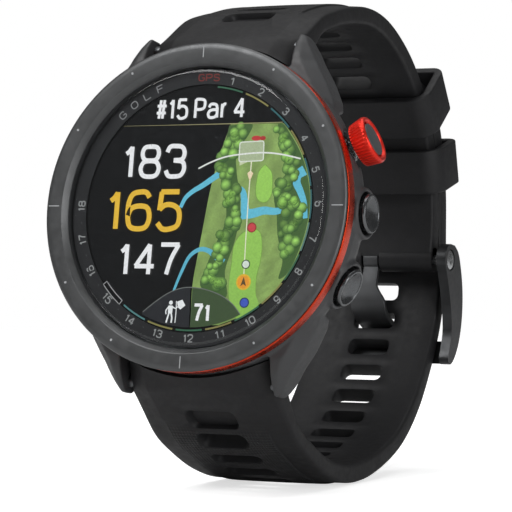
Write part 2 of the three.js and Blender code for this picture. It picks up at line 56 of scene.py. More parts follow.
LENS_FRONT = 0.5  # how far the lens face lies behind the bezel's front face


def record_mount(name):
    return next(m for m in frame["record"]["mounts"] if m["name"] == name)


def watch_matrix():
    """Millimetres in the watch's directions to metres in the frame, from where the lens face is."""
    lens = record_mount("lens_face")
    forwards = Vector(lens["axis"]).normalized()
    across = Vector((1, 0, 0))
    back = -forwards
    up = across.cross(back)
    turn = Matrix((across, back, up)).transposed().to_4x4()
    start = Vector(lens["pos_m"]) + forwards * LENS_FRONT / 1000
    return Matrix.Translation(start) @ turn @ Matrix.Scale(0.001, 4)


WATCH = watch_matrix()

# ---------- dimensions, in millimetres ----------

BEZEL_RADIUS = 23.5
CASE_RADIUS = 23.5
DISPLAY_RADIUS = 17.9
BUTTON_Y = 6.9
BUTTON_ANGLES = {"top": 23.7, "middle": 0.0, "bottom": -25.5}
STRAP_HALF_LUG = 11.4
STRAP_HALF_TAIL = 10.7
STRAP_THICK = 3.2
EDGE_LUG = 2.4
EDGE_TAIL = 2.9
SLOT_HALF_WIDTH = 3.45
SLOT_HALF_LENGTH = 1.4
SLOT_PITCH = 5.0
WRAP_CENTRE = (38.5, 6.0)
WRAP_RADIUS = 27.8
LAYER_PITCH = 3.5
PIN = (68.0, 3.2)
EYELET_RADIUS = 2.0
BUCKLE_HALF = 13.5
KEEPER_ANGLES = {"upper": 44.4, "lower": 23.8}

# ---------- meshes ----------


def rounded(points, radius, steps=4):
    """A closed outline with every corner rounded. A point may hold its own radius as a third number."""
    line = []
    count = len(points)
    for i in range(count):
        here = np.array(points[i][:2], float)
        before = np.array(points[i - 1][:2], float) - here
        after = np.array(points[(i + 1) % count][:2], float) - here
        size = points[i][2] if len(points[i]) > 2 else radius
        reach = min(size, 0.48 * np.linalg.norm(before), 0.48 * np.linalg.norm(after))
        start = here + before / np.linalg.norm(before) * reach
        end = here + after / np.linalg.norm(after) * reach
        for k in range(steps + 1):
            t = k / steps
            line.append(tuple((1 - t) ** 2 * start + 2 * t * (1 - t) * here + t * t * end))
    return line


def lathe(outline, segments=128):
    """Verts and faces of an outline of (radius, along) turned about the y axis. It closes on itself, or its
    first and last points lie on the axis."""
    closed = outline[0][0] > 1e-6
    verts, rings, faces = [], [], []
    for radius, along in outline:
        if radius < 1e-6:
            rings.append([len(verts)] * segments)
            verts.append((0, along, 0))
            continue
        rings.append(range(len(verts), len(verts) + segments))
        for k in range(segments):
            angle = 2 * math.pi * k / segments
            verts.append((radius * math.cos(angle), along, radius * math.sin(angle)))
    pairs = list(zip(rings, rings[1:])) + ([(rings[-1], rings[0])] if closed else [])
    for a, b in pairs:
        for k in range(segments):
            loop = [a[k], a[(k + 1) % segments], b[(k + 1) % segments], b[k]]
            faces.append([v for i, v in enumerate(loop) if v not in loop[:i]])
    return verts, faces


def prism(outline, low, high, axis=0):
    """Verts and faces of a closed outline pushed along an axis: 0 takes (y, z) points, 1 takes (x, z)."""
    verts = []
    for level in (low, high):
        for a, b in outline:
            verts.append((level, a, b) if axis == 0 else (a, level, b))
    count = len(outline)
    faces = [[k, (k + 1) % count, count + (k + 1) % count, count + k] for k in range(count)]
    for triangle in tessellate_polygon([[Vector((a, b, 0)) for a, b in outline]]):
        faces.append(list(triangle))
        faces.append([count + k for k in reversed(triangle)])
    return verts, faces


def loft(sections, closed=False):
    """Verts and faces through a row of equal closed sections, capped unless the row closes on itself."""
    size = len(sections[0])
    verts = [tuple(p) for section in sections for p in section]
    faces = []
    rows = len(sections)
    for i in range(rows if closed else rows - 1):
        j = (i + 1) % rows
        for k in range(size):
            n = (k + 1) % size
            faces.append([i * size + k, i * size + n, j * size + n, j * size + k])
    if not closed:
        faces.append(list(range(size - 1, -1, -1)))
        faces.append([(rows - 1) * size + k for k in range(size)])
    return verts, faces


def joined(*parts):
    verts, faces = [], []
    for part_verts, part_faces in parts:
        shift = len(verts)
        verts += [tuple(v) for v in part_verts]
        faces += [[shift + k for k in face] for face in part_faces]
    return verts, faces


def moved(part, matrix):
    verts, faces = part
    return [tuple(matrix @ Vector(v)) for v in verts], faces


def mesh_object(name, part, material, sharp=32.0):
    """An object from verts and faces drawn in the watch's directions."""
    verts, faces = part
    mesh = bpy.data.meshes.new(name)
    mesh.from_pydata([WATCH @ Vector(v) for v in verts], [], faces)
    work = bmesh.new()
    work.from_mesh(mesh)
    bmesh.ops.recalc_face_normals(work, faces=work.faces)
    work.to_mesh(mesh)
    work.free()
    mesh.shade_smooth()
    mesh.set_sharp_from_angle(angle=math.radians(sharp))
    mesh.materials.append(material)
    item = bpy.data.objects.new(name, mesh)
    bpy.context.scene.collection.objects.link(item)
    return item


def piece(name, part, material, body="watch", replaces=(), sharp=32.0):
    item = mesh_object(name, part, material, sharp)
    return settle(item, body, replaces)


def settle(item, body, replaces=()):
    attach(item, body)
    if replaces:
        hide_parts(*replaces)
    return item


def soften(item, width, segments=2, angle=35.0):
    """Bevels the sharp edges of an object."""
    bevel = item.modifiers.new("soft edges", "BEVEL")
    bevel.width = width / 1000
    bevel.segments = segments
    bevel.limit_method = "ANGLE"
    bevel.angle_limit = math.radians(angle)
    bevel.harden_normals = False
    return item


# ---------- materials ----------


class Nodes:
    """A material's node tree, with short calls to add and join nodes."""

    def __init__(self, name):
        self.material = bpy.data.materials.new(name)
        self.material.use_nodes = True
        self.tree = self.material.node_tree
        self.shader = self.tree.nodes["Principled BSDF"]
        self.output = self.tree.nodes["Material Output"]

    def add(self, kind, **values):
        node = self.tree.nodes.new(kind)
        for key, value in values.items():
            if hasattr(node, key):
                setattr(node, key, value)
            else:
                node.inputs[key.replace("_", " ")].default_value = value
        return node

    def link(self, source, target):
        self.tree.links.new(source, target)

    def places(self):
        """Places on the piece, in millimetres."""
        coordinates = self.add("ShaderNodeTexCoord")
        mapping = self.add("ShaderNodeMapping")
        mapping.inputs["Scale"].default_value = (1000, 1000, 1000)
        self.link(coordinates.outputs["Object"], mapping.inputs["Vector"])
        return mapping.outputs["Vector"]

    def noise(self, places, scale, detail=4.0, roughness=0.55, stretch=None):
        if stretch:
            mapping = self.add("ShaderNodeMapping")
            mapping.inputs["Scale"].default_value = stretch
            self.link(places, mapping.inputs["Vector"])
            places = mapping.outputs["Vector"]
        node = self.add("ShaderNodeTexNoise", Scale=scale, Detail=detail, Roughness=roughness)
        self.link(places, node.inputs["Vector"])
        return node.outputs["Fac"]

    def span(self, value, low, high, start=0.3, end=0.7):
        node = self.add("ShaderNodeMapRange")
        for key, number in (("From Min", start), ("From Max", end), ("To Min", low), ("To Max", high)):
            node.inputs[key].default_value = number
        self.link(value, node.inputs["Value"])
        return node.outputs["Result"]

    def maths(self, operation, a, b=None):
        node = self.add("ShaderNodeMath", operation=operation)
        for socket, value in zip(node.inputs, (a, b)):
            if value is None:
                continue
            if isinstance(value, (int, float)):
                socket.default_value = value
            else:
                self.link(value, socket)
        return node.outputs["Value"]

    def between(self, factor, a, b):
        """A colour between two colours or colour sockets."""
        node = self.add("ShaderNodeMix", data_type="RGBA")
        self.link(factor, node.inputs["Factor"])
        for socket, value in ((node.inputs[6], a), (node.inputs[7], b)):
            if isinstance(value, tuple):
                socket.default_value = (*value, 1)
            else:
                self.link(value, socket)
        return node.outputs[2]

    def bump(self, height, distance, strength=1.0, under=None):
        node = self.add("ShaderNodeBump")
        node.inputs["Strength"].default_value = strength
        node.inputs["Distance"].default_value = distance / 1000
        self.link(height, node.inputs["Height"])
        if under is not None:
            self.link(under, node.inputs["Normal"])
        return node.outputs["Normal"]

    def attribute(self, name):
        node = self.add("ShaderNodeAttribute")
        node.attribute_name = name
        return node

    def set(self, **values):
        for key, value in values.items():
            socket = self.shader.inputs[key.replace("_", " ")]
            if isinstance(value, (int, float, tuple)):
                socket.default_value = value
            else:
                self.link(value, socket)


def plain_shade(colour, share):
    return tuple(c * share for c in colour)


def surface(name, colour, roughness, metallic=0.0, fine=6.0, bump=0.004, stretch=None):
    """A worked surface: uneven colour, uneven gloss and a fine relief."""
    spread, rough_spread, grain = 0.12, 0.06, 1.2
    nodes = Nodes(name)
    places = nodes.places()
    cloud = nodes.noise(places, grain * 0.25, 5)
    relief = nodes.noise(places, fine, 3, stretch=stretch)
    darker, lighter = plain_shade(colour, 1 - spread), plain_shade(colour, 1 + spread)
    tone = nodes.between(nodes.span(cloud, 0, 1), darker, lighter)
    gloss = nodes.span(nodes.noise(places, grain, 4), roughness - rough_spread, roughness + rough_spread)
    nodes.set(Base_Color=tone, Roughness=gloss, Metallic=metallic,
              Normal=nodes.bump(relief, bump))
    return nodes.material


def rubber(name, colour, roughness):
    """Matt silicone. The knurled panel shows where the vertex attribute knurl is 1."""
    nodes = Nodes(name)
    places = nodes.places()
    cloud = nodes.noise(places, 0.22, 5)
    dust = nodes.span(nodes.noise(places, 3.0, 6, 0.7), 0, 1, 0.55, 0.8)
    tone = nodes.between(nodes.span(cloud, 0, 1), plain_shade(colour, 0.85), plain_shade(colour, 1.15))
    tone = nodes.between(nodes.maths("MULTIPLY", dust, 0.12), tone, (0.09, 0.09, 0.09))
    gloss = nodes.span(nodes.noise(places, 0.9, 4), roughness - 0.05, roughness + 0.07)
    place = nodes.attribute("strap_place")
    split = nodes.add("ShaderNodeSeparateXYZ")
    nodes.link(place.outputs["Vector"], split.inputs["Vector"])
    rate = math.pi / 0.5
    across = nodes.maths("MULTIPLY", split.outputs["X"], rate)
    along = nodes.maths("MULTIPLY", split.outputs["Y"], rate)
    one = nodes.maths("SINE", nodes.maths("ADD", across, along))
    other = nodes.maths("SINE", nodes.maths("SUBTRACT", across, along))
    stud = nodes.maths("MAXIMUM", nodes.maths("MULTIPLY", one, other), -0.2)
    knurl = nodes.maths("MULTIPLY", stud, nodes.attribute("knurl").outputs["Fac"])
    relief = nodes.bump(knurl, 0.09)
    grain = nodes.bump(nodes.noise(places, 9, 3), 0.005, under=relief)
    nodes.set(Base_Color=tone, Roughness=gloss, Specular_IOR_Level=0.28, Normal=grain)
    return nodes.material


def clear_glass(name, tint, roughness=0.03, straight=0.04):
    """Thin clear glass: it shows what is behind it, and reflects more at a slant."""
    nodes = Nodes(name)
    places = nodes.places()
    smear = nodes.span(nodes.noise(places, 0.12, 3), roughness * 0.6, roughness * 1.6)
    through = nodes.add("ShaderNodeBsdfTransparent")
    through.inputs["Color"].default_value = (*tint, 1)
    gloss = nodes.add("ShaderNodeBsdfAnisotropic")
    nodes.link(smear, gloss.inputs["Roughness"])
    slant = nodes.add("ShaderNodeLayerWeight", Blend=0.5).outputs["Facing"]
    share = nodes.maths("ADD", nodes.maths("MULTIPLY", nodes.maths("POWER", slant, 5), 1 - straight),
                        straight)
    mix = nodes.add("ShaderNodeMixShader")
    nodes.link(share, mix.inputs["Fac"])
    nodes.link(through.outputs["BSDF"], mix.inputs[1])
    nodes.link(gloss.outputs["BSDF"], mix.inputs[2])
    nodes.link(mix.outputs["Shader"], nodes.output.inputs["Surface"])
    nodes.tree.nodes.remove(nodes.shader)
    return nodes.material


def lit_pixels(name, strength):
    """A lit display: each face glows in the colour of its vertices, a little uneven. At a lower strength it
    also makes print glow, which is painted light.
    """
    nodes = Nodes(name)
    tint = nodes.attribute("tint").outputs["Color"]
    places = nodes.places()
    mottle = nodes.span(nodes.noise(places, 3.5, 2), 0.9, 1.08)
    scaled = nodes.add("ShaderNodeVectorMath", operation="SCALE")
    nodes.link(tint, scaled.inputs[0])
    nodes.link(mottle, scaled.inputs["Scale"])
    nodes.set(Base_Color=(0, 0, 0, 1), Roughness=0.5, Emission_Color=scaled.outputs["Vector"],
              Emission_Strength=strength)
    return nodes.material


GUNMETAL = surface("gunmetal", (0.088, 0.09, 0.092), 0.4, 0.65, fine=5, bump=0.003)
MARK_PAINT = surface("mark_paint", (0.36, 0.37, 0.38), 0.5)
POLYMER = surface("polymer", (0.036, 0.037, 0.039), 0.5, 0.0, fine=7, bump=0.012)
SILICONE = rubber("silicone", (0.012, 0.012, 0.013), 0.55)
ACCENT = surface("anodised_orange", (0.62, 0.05, 0.016), 0.28, 0.9, fine=5, bump=0.003)
RED = surface("anodised_red", (0.72, 0.025, 0.012), 0.36, 0.7, fine=6, bump=0.006)
DARK_STEEL = surface("dark_steel", (0.11, 0.115, 0.12), 0.34, 0.9, fine=7, bump=0.004, stretch=(0.15, 1, 1))
BUCKLE_STEEL = surface("buckle_steel", (0.085, 0.087, 0.09), 0.4, 0.9, fine=7, bump=0.004,
                       stretch=(0.15, 1, 1))
TONGUE_STEEL = surface("tongue_steel", (0.08, 0.082, 0.085), 0.5, 0.8, fine=7, bump=0.004,
                       stretch=(0.15, 1, 1))
BOWL_STEEL = surface("bowl_steel", (0.13, 0.135, 0.14), 0.24, 0.95, fine=7, bump=0.002)
BUTTON_CAP = surface("button_cap", (0.12, 0.13, 0.135), 0.42, 0.6, fine=6, bump=0.003)
STEEL = surface("steel", (0.5, 0.51, 0.52), 0.28, 1.0, fine=8, bump=0.003, stretch=(0.2, 1, 1))
FOIL = surface("foil", (0.45, 0.47, 0.48), 0.4, 0.9, fine=3, bump=0.01)
BOARD = surface("solder_mask", (0.02, 0.13, 0.06), 0.45, 0.0, fine=4, bump=0.006)
GOLD = surface("gold_plate", (0.78, 0.52, 0.2), 0.25, 1.0, fine=6, bump=0.002)
SEAL = surface("seal_rubber", (0.02, 0.02, 0.02), 0.7, 0.0, fine=6, bump=0.006)
SCREEN = surface("dark_screen", (0.004, 0.0045, 0.005), 0.2, 0.0, fine=4, bump=0.0005)
DARK_PRINT = surface("dark_print", (0.006, 0.006, 0.007), 0.45, 0.0, fine=6, bump=0.001)
LENS_GLASS = clear_glass("lens_glass", (0.95, 0.96, 0.97))
SENSOR_GLASS = clear_glass("sensor_glass", (0.4, 0.38, 0.4), 0.05)
PIXELS = lit_pixels("lit_pixels", 1.0)
# The hole ring's printed numbers, ticks and words glow: painted light standing in for lamp light on the print
# under the lens. The ring's hole arcs and frame are real display light.
PRINT_PAINTED_GLOW = lit_pixels("dial_print_painted_glow", 0.55)

CAD_FINISH = {
    "gunmetal": GUNMETAL, "polymer": POLYMER, "silicone": SILICONE, "accent": ACCENT,
    "lens_glass": LENS_GLASS, "sensor_glass": SENSOR_GLASS, "screen": SCREEN, "dark_steel": DARK_STEEL,
    "steel": STEEL, "board": BOARD, "foil": FOIL, "gold": GOLD, "seal": SEAL,
}


def finish_cad_nodes():
    """The CAD's own pieces take the worked surface of their material slot."""
    slots = {s["node"]: s["material_slot"] for s in frame["record"]["subparts"]}
    for name, item in frame["nodes"].items():
        item.data.materials.clear()
        item.data.materials.append(CAD_FINISH[slots[name]])


# ---------- curves seen from the side ----------


def spline(points, steps=48):
    """A centripetal Catmull-Rom curve through the points, as a fine line."""
    p = [np.array(q, float) for q in points]
    p = [2 * p[0] - p[1], *p, 2 * p[-1] - p[-2]]
    line = []
    for i in range(1, len(p) - 2):
        a, b, c, d = p[i - 1 : i + 3]
        t0 = 0.0
        t1 = t0 + np.linalg.norm(b - a) ** 0.5
        t2 = t1 + np.linalg.norm(c - b) ** 0.5
        t3 = t2 + np.linalg.norm(d - c) ** 0.5
        for t in np.linspace(t1, t2, steps, endpoint=False):
            ab = (t1 - t) / (t1 - t0) * a + (t - t0) / (t1 - t0) * b
            bc = (t2 - t) / (t2 - t1) * b + (t - t1) / (t2 - t1) * c
            cd = (t3 - t) / (t3 - t2) * c + (t - t2) / (t3 - t2) * d
            abc = (t2 - t) / (t2 - t0) * ab + (t - t0) / (t2 - t0) * bc
            bcd = (t3 - t) / (t3 - t1) * bc + (t - t1) / (t3 - t1) * cd
            line.append((t2 - t) / (t2 - t1) * abc + (t - t1) / (t2 - t1) * bcd)
    line.append(p[-2])
    return np.array(line)


class Path:
    """A curve by distance along it."""

    def __init__(self, points):
        self.line = spline(points)
        steps = np.linalg.norm(np.diff(self.line, axis=0), axis=1)
        self.distances = np.concatenate([[0], np.cumsum(steps)])
        self.length = self.distances[-1]

    def point(self, distance):
        return np.array([np.interp(distance, self.distances, self.line[:, k])
                         for k in range(self.line.shape[1])])

    def tangent(self, distance, reach=0.25):
        low, high = max(0, distance - reach), min(self.length, distance + reach)
        ahead = self.point(high) - self.point(low)
        return ahead / np.linalg.norm(ahead)


def wrap_points(radius, start, end, count):
    angles = np.radians(np.linspace(start, end, count))
    return [(WRAP_CENTRE[0] + radius * math.cos(a), WRAP_CENTRE[1] + radius * math.sin(a)) for a in angles]


UPPER_PATH = Path([
    (12.4, 24.6), (15.7, 28.1), (20.4, 30.3), (27.5, 32.6), (35.0, 34.0), (41.5, 33.8),
    *wrap_points(WRAP_RADIUS, 72, -5, 9),
])
LOWER_PATH = Path([
    (12.2, -24.6), (16.5, -28.6), (22.3, -30.9), (29, -32.5), (36, -32.8), (43.5, -31.6), (51, -28.9),
    (57.5, -25.3), (63, -19.8), (67.1, -13), (69.8, -6.5), (70.8, -0.5),
    *wrap_points(WRAP_RADIUS + LAYER_PITCH, 6, 52, 6),
])


def outwards(path, distance):
    """The direction away from the wrist, square to the strap."""
    along = path.tangent(distance)
    out = np.array([along[1], -along[0]])
    here = path.point(distance)
    if out @ np.array([here[0] - 30, here[1]]) < 0:
        out = -out
    return out


def smooth(value, start, end):
    t = min(1.0, max(0.0, (value - start) / (end - start)))
    return t * t * (3 - 2 * t)


# ---------- straps ----------

CELL_ROWS = 6  # mesh rows in one slot's stretch of strap
CELL_COLUMNS = 12
CELL_HALF = 6.0  # half of the middle stretch that the slots are cut in


def slot_ring(half_width, half_length, corner):
    """Points round a slot, in step with the points round its cell: 12 across, 6 along, 12 back, 6 back."""
    corner = min(corner, half_width * 0.98, half_length * 0.98)
    centres = [(-1, -1), (1, -1), (1, 1), (-1, 1)]
    counts = [CELL_COLUMNS, CELL_ROWS, CELL_COLUMNS, CELL_ROWS]
    ring = []
    for side in range(4):
        start_angle = math.radians(-135 + 90 * side)
        a = np.array([centres[side][0] * (half_width - corner), centres[side][1] * (half_length - corner)])
        nxt = centres[(side + 1) % 4]
        b = np.array([nxt[0] * (half_width - corner), nxt[1] * (half_length - corner)])
        straight = counts[side] - 4
        for k in range(counts[side]):
            if k < 2:
                angle = start_angle + math.radians(22.5 * k)
                ring.append(a + corner * np.array([math.cos(angle), math.sin(angle)]))
            elif k <= 2 + straight:
                angle = start_angle + math.radians(45)
                edge = corner * np.array([math.cos(angle), math.sin(angle)])
                ring.append(a + (b - a) * (k - 2) / straight + edge)
            else:
                angle = start_angle + math.radians(45 + 22.5 * (k - 2 - straight))
                ring.append(b + corner * np.array([math.cos(angle), math.sin(angle)]))
    return ring


class StrapMesh:
    """A strap as one closed mesh: a middle stretch with slots, and an edge strip down each side.

    Its points are given as (x across, distance along, height from the wrist side)."""

    def __init__(self, frames, half_width, step_share):
        self.frames = frames  # distance -> inner point, direction out with its length for full thickness
        self.half_width = half_width
        self.step_share = step_share  # distance -> how far the raised panel stands out, 0 to 1
        self.verts, self.places, self.knurl, self.faces, self.known = [], [], [], [], {}

    def vertex(self, x, distance, height, knurl=0.0):
        key = (round(x, 4), round(distance, 4), round(height, 4))
        if key not in self.known:
            self.known[key] = len(self.verts)
            self.verts.append(self.frames(x, distance, height))
            self.places.append((x, distance, height))
            self.knurl.append(knurl)
        return self.known[key]

    def panel_edge(self, distance):
        return self.half_width(distance) - 3.55

    def middle_half(self, distance):
        return min(CELL_HALF, self.half_width(distance) - 4.5)

    def outer_height(self, x):
        return STRAP_THICK - 0.08 * (x / 7.5) ** 2

    def edge_line(self, distance):
        """(x, height, knurl) from the middle stretch's outer corner, round the edge, to its inner corner."""
        half, panel = self.half_width(distance), self.panel_edge(distance)
        share = self.step_share(distance)
        top = self.outer_height(panel)
        middle = self.middle_half(distance)
        edge = edge_thickness(distance)
        share *= 1 - 1.2 * (edge - EDGE_LUG)
        slope_start = (panel + 0.45, top - 0.05 - 0.3 * share)
        slope_end = (half - 0.6, edge + 0.12)
        slope = [tuple(a + (b - a) * t for a, b in zip(slope_start, slope_end)) + (0,) for t in (0.33, 0.66)]
        return [
            (middle + (panel - 0.12 - middle) * 0.5, self.outer_height(middle), 1),
            (panel - 0.12, top, 1), (panel, top - 0.04 * share, 0.3), (panel + 0.14, top - 0.3 * share, 0),
            (*slope_start, 0), *slope, (*slope_end, 0), (half - 0.22, edge - 0.02, 0),
            (half - 0.06, edge - 0.2, 0), (half, edge - 0.5, 0), (half, edge / 2, 0), (half, 0.6, 0),
            (half - 0.07, 0.3, 0), (half - 0.22, 0.1, 0), (half - 0.5, 0, 0),
            (middle + (half - middle) * 0.4, 0, 0),
        ]

    def rows_of(self, start, end):
        return [start + (end - start) * k / CELL_ROWS for k in range(CELL_ROWS + 1)]

    def columns_of(self, distance):
        half = self.middle_half(distance)
        return [half * (2 * k / CELL_COLUMNS - 1) for k in range(CELL_COLUMNS + 1)]

    def skin_point(self, x, distance, outer, knurl):
        height = self.outer_height(x) if outer else 0.0
        return self.vertex(x, distance, height, knurl if outer else 0.0)

    def plain_cell(self, start, end, outer, knurl):
        rows = self.rows_of(start, end)
        for a, b in zip(rows, rows[1:]):
            low, high = self.columns_of(a), self.columns_of(b)
            for k in range(CELL_COLUMNS):
                self.faces.append([
                    self.skin_point(low[k], a, outer, knurl(a)),
                    self.skin_point(low[k + 1], a, outer, knurl(a)),
                    self.skin_point(high[k + 1], b, outer, knurl(b)),
                    self.skin_point(high[k], b, outer, knurl(b)),
                ])

    def cell_border(self, start, end, outer, knurl):
        rows, first, last = self.rows_of(start, end), self.columns_of(start), self.columns_of(end)
        loop = [(x, start) for x in first[:-1]] + [(self.middle_half(s), s) for s in rows[:-1]]
        loop += [(x, end) for x in reversed(last[1:])]
        loop += [(-self.middle_half(s), s) for s in reversed(rows[1:])]
        return [self.skin_point(x, s, outer, knurl(s)) for x, s in loop]

    def join_rings(self, a, b):
        for k in range(len(a)):
            n = (k + 1) % len(a)
            self.faces.append([a[k], a[n], b[n], b[k]])

    def ring(self, centre, half_width, half_length, corner, height, knurl=0.0):
        """A ring of points at a height, or at a depth under the outer face where height is a pair."""
        found = []
        for dx, ds in slot_ring(half_width, half_length, corner):
            s = centre + ds
            level = self.outer_height(dx) - height[1] if isinstance(height, tuple) else height
            found.append(self.vertex(dx, s, level, knurl))
        return found

    def slot_cell(self, start, end, centre, knurl):
        """A slot through the strap, with a soft mouth on both faces and ramped ends outside."""
        w, l = SLOT_HALF_WIDTH, SLOT_HALF_LENGTH
        rings = [
            self.cell_border(start, end, True, knurl),
            self.ring(centre, w + 0.62, l + 0.14, 1.1, ("under", 0.0), knurl(centre)),
            self.ring(centre, w + 0.5, l + 0.04, 1.05, ("under", 0.1)),
            self.ring(centre, w + 0.28, l, 1.0, ("under", 0.5)),
            self.ring(centre, w, l, 0.9, 2.1),
            self.ring(centre, w, l, 0.9, 0.35),
            self.ring(centre, w + 0.06, l + 0.06, 0.95, 0.1),
            self.ring(centre, w + 0.22, l + 0.2, 1.05, 0.0),
            self.cell_border(start, end, False, knurl),
        ]
        for a, b in zip(rings, rings[1:]):
            self.join_rings(a, b)

    def blind_cell(self, start, end, centre, rings, outer, knurl):
        """A hollow in one face. rings holds (half width, half length, corner, height or depth)."""
        loops = [self.cell_border(start, end, outer, knurl)]
        loops += [self.ring(centre, *ring) for ring in rings]
        for a, b in zip(loops, loops[1:]):
            self.join_rings(a, b)
        self.faces.append(list(loops[-1]))

    def edges(self, rows):
        for a, b in zip(rows, rows[1:]):
            for side in (-1, 1):
                low, high = self.edge_points(a, side), self.edge_points(b, side)
                for k in range(len(low) - 1):
                    self.faces.append([low[k], low[k + 1], high[k + 1], high[k]])

    def edge_points(self, distance, side):
        middle, share = self.middle_half(distance), self.step_share(distance)
        line = [self.skin_point(side * middle, distance, True, share)]
        line += [self.vertex(side * x, distance, h, k * share) for x, h, k in self.edge_line(distance)]
        line.append(self.skin_point(side * middle, distance, False, 0))
        return line

    def cap(self, distance):
        outer = [self.skin_point(x, distance, True, 0) for x in self.columns_of(distance)]
        inner = [self.skin_point(x, distance, False, 0) for x in self.columns_of(distance)]
        right, left = self.edge_points(distance, 1), self.edge_points(distance, -1)
        self.faces.append(outer + right[1:-1] + inner[::-1] + left[-2:0:-1])

    def build(self, name):
        item = mesh_object(name, (self.verts, self.faces), SILICONE, sharp=38)
        store = item.data.attributes.new("strap_place", "FLOAT_VECTOR", "POINT")
        store.data.foreach_set("vector", np.array(self.places, np.float32).ravel())
        store = item.data.attributes.new("knurl", "FLOAT", "POINT")
        store.data.foreach_set("value", np.array(self.knurl, np.float32))
        return item


def strap_frames(path, end, head_outer, head_inner):
    """How a strap's (x, distance, height) become places. Below HEAD_END the strap thickens into its head."""
    beyond = (HEAD_END, HEAD_END + 2)
    outer_start = [(y, end * z) for y, z in head_outer]
    inner_start = [(y, end * z) for y, z in head_inner]
    outer_line = Path(outer_start + [tuple(path.point(s) + STRAP_THICK * outwards(path, s)) for s in beyond])
    inner_line = Path(inner_start + [tuple(path.point(s)) for s in beyond])
    joints = [
        next(d for d in np.arange(0, line.length, 0.02) if np.linalg.norm(line.point(d) - target) < 0.03)
        for line, target in (
            (outer_line, path.point(HEAD_END) + STRAP_THICK * outwards(path, HEAD_END)),
            (inner_line, path.point(HEAD_END)),
        )
    ]

    def place(x, distance, height):
        if distance >= HEAD_END:
            at = path.point(distance) + height * outwards(path, distance)
        else:
            share = (distance - HEAD_START) / (HEAD_END - HEAD_START)
            inner, outer = inner_line.point(share * joints[1]), outer_line.point(share * joints[0])
            at = inner + (outer - inner) * height / STRAP_THICK
        bend = 1 - smooth(distance, HEAD_START, -1.2)
        lag = math.sqrt(max(0.0, (CASE_RADIUS + 0.4) ** 2 - x * x)) - (CASE_RADIUS + 0.4)
        return x, at[0], at[1] + end * lag * bend

    return place


HEAD_START = -3.5  # the strap's distances run from here, at the case, to its other end
HEAD_END = 4.8
LATCH_END = 5.0  # the hollow for the quick-release latch ends here


def edge_thickness(distance):
    return EDGE_LUG + (EDGE_TAIL - EDGE_LUG) * smooth(distance, 12, 36)


def tapered(distance):
    return STRAP_HALF_LUG + (STRAP_HALF_TAIL - STRAP_HALF_LUG) * smooth(distance, 4, 40)


def tail_width(distance):
    left = min(1.0, max(0.0, (LOWER_PATH.length - distance) / 7))
    return tapered(distance) * (0.45 + 0.55 * math.sqrt(1 - (1 - left) ** 2))


def panel_share(distance):
    """How far the raised panel stands out, 0 to 1."""
    return smooth(distance, 3.2, 7.0)


def make_strap(name, path, end, half_width, first_slot, slots, nodes):
    frames = strap_frames(path, end, *HEAD_LINES)
    strap = StrapMesh(frames, half_width, panel_share)
    first_cell = max(first_slot - SLOT_PITCH / 2, LATCH_END)
    latch = [(5.3, 2.2, 0.5, 0.0), (5.3, 2.2, 0.45, 0.12), (5.3, 2.2, 0.4, 1.45)]
    head_cells = [HEAD_START, -1.4, 0.2]
    for a, b in zip(head_cells, head_cells[1:]):
        strap.plain_cell(a, b, True, panel_share)
        strap.plain_cell(a, b, False, panel_share)
    w, l = SLOT_HALF_WIDTH, SLOT_HALF_LENGTH
    recess = [
        (w + 0.62, l + 0.14, 1.1, ("under", 0.0)), (w + 0.5, l + 0.04, 1.05, ("under", 0.1)),
        (w + 0.28, l, 1.0, ("under", 0.5)), (w, l, 0.9, ("under", 1.0)),
    ]
    strap.blind_cell(0.2, first_cell, first_cell - 1.9, recess, True, panel_share)
    strap.blind_cell(0.2, first_cell, 2.6, latch, False, panel_share)
    borders = head_cells + [first_cell]
    for k in range(slots):
        centre = first_slot + k * SLOT_PITCH
        strap.slot_cell(borders[-1], centre + SLOT_PITCH / 2, centre, panel_share)
        borders.append(centre + SLOT_PITCH / 2)
    rest = max(1, round((path.length - borders[-1]) / SLOT_PITCH))
    for stop in np.linspace(borders[-1], path.length, rest + 1)[1:]:
        strap.plain_cell(borders[-1], stop, True, panel_share)
        strap.plain_cell(borders[-1], stop, False, panel_share)
        borders.append(float(stop))
    rows = sorted({round(s, 6) for a, b in zip(borders, borders[1:]) for s in strap.rows_of(a, b)})
    strap.edges(rows)
    strap.cap(rows[0])
    strap.cap(rows[-1])
    return settle(strap.build(name), "watch", nodes)


HEAD_LINES = (
    [(3.9, 23.9), (5.4, 25.1), (8.6, 27.1)],
    [(11.2, 22.5), (12.1, 24.0)],
)


def build_straps():
    make_strap("strap_upper_moulding", UPPER_PATH, 1, tapered, 9.3, 8, ["strap_upper"])
    make_strap("strap_lower_moulding", LOWER_PATH, -1, tail_width, 6.8, 20, ["strap_lower"])


def build_eyelet():
    """The end of the short strap, wrapped round the buckle's pin on each side of the tongue."""
    for name, low, high in (("left", -10.7, -1.6), ("right", 1.6, 10.7)):
        eyelet = piece(f"strap_eyelet_{name}", prism(round_outline(*PIN, EYELET_RADIUS, 40), low, high),
                       SILICONE)
        soften(eyelet, 0.3, 3, 60)


# ---------- watch head ----------


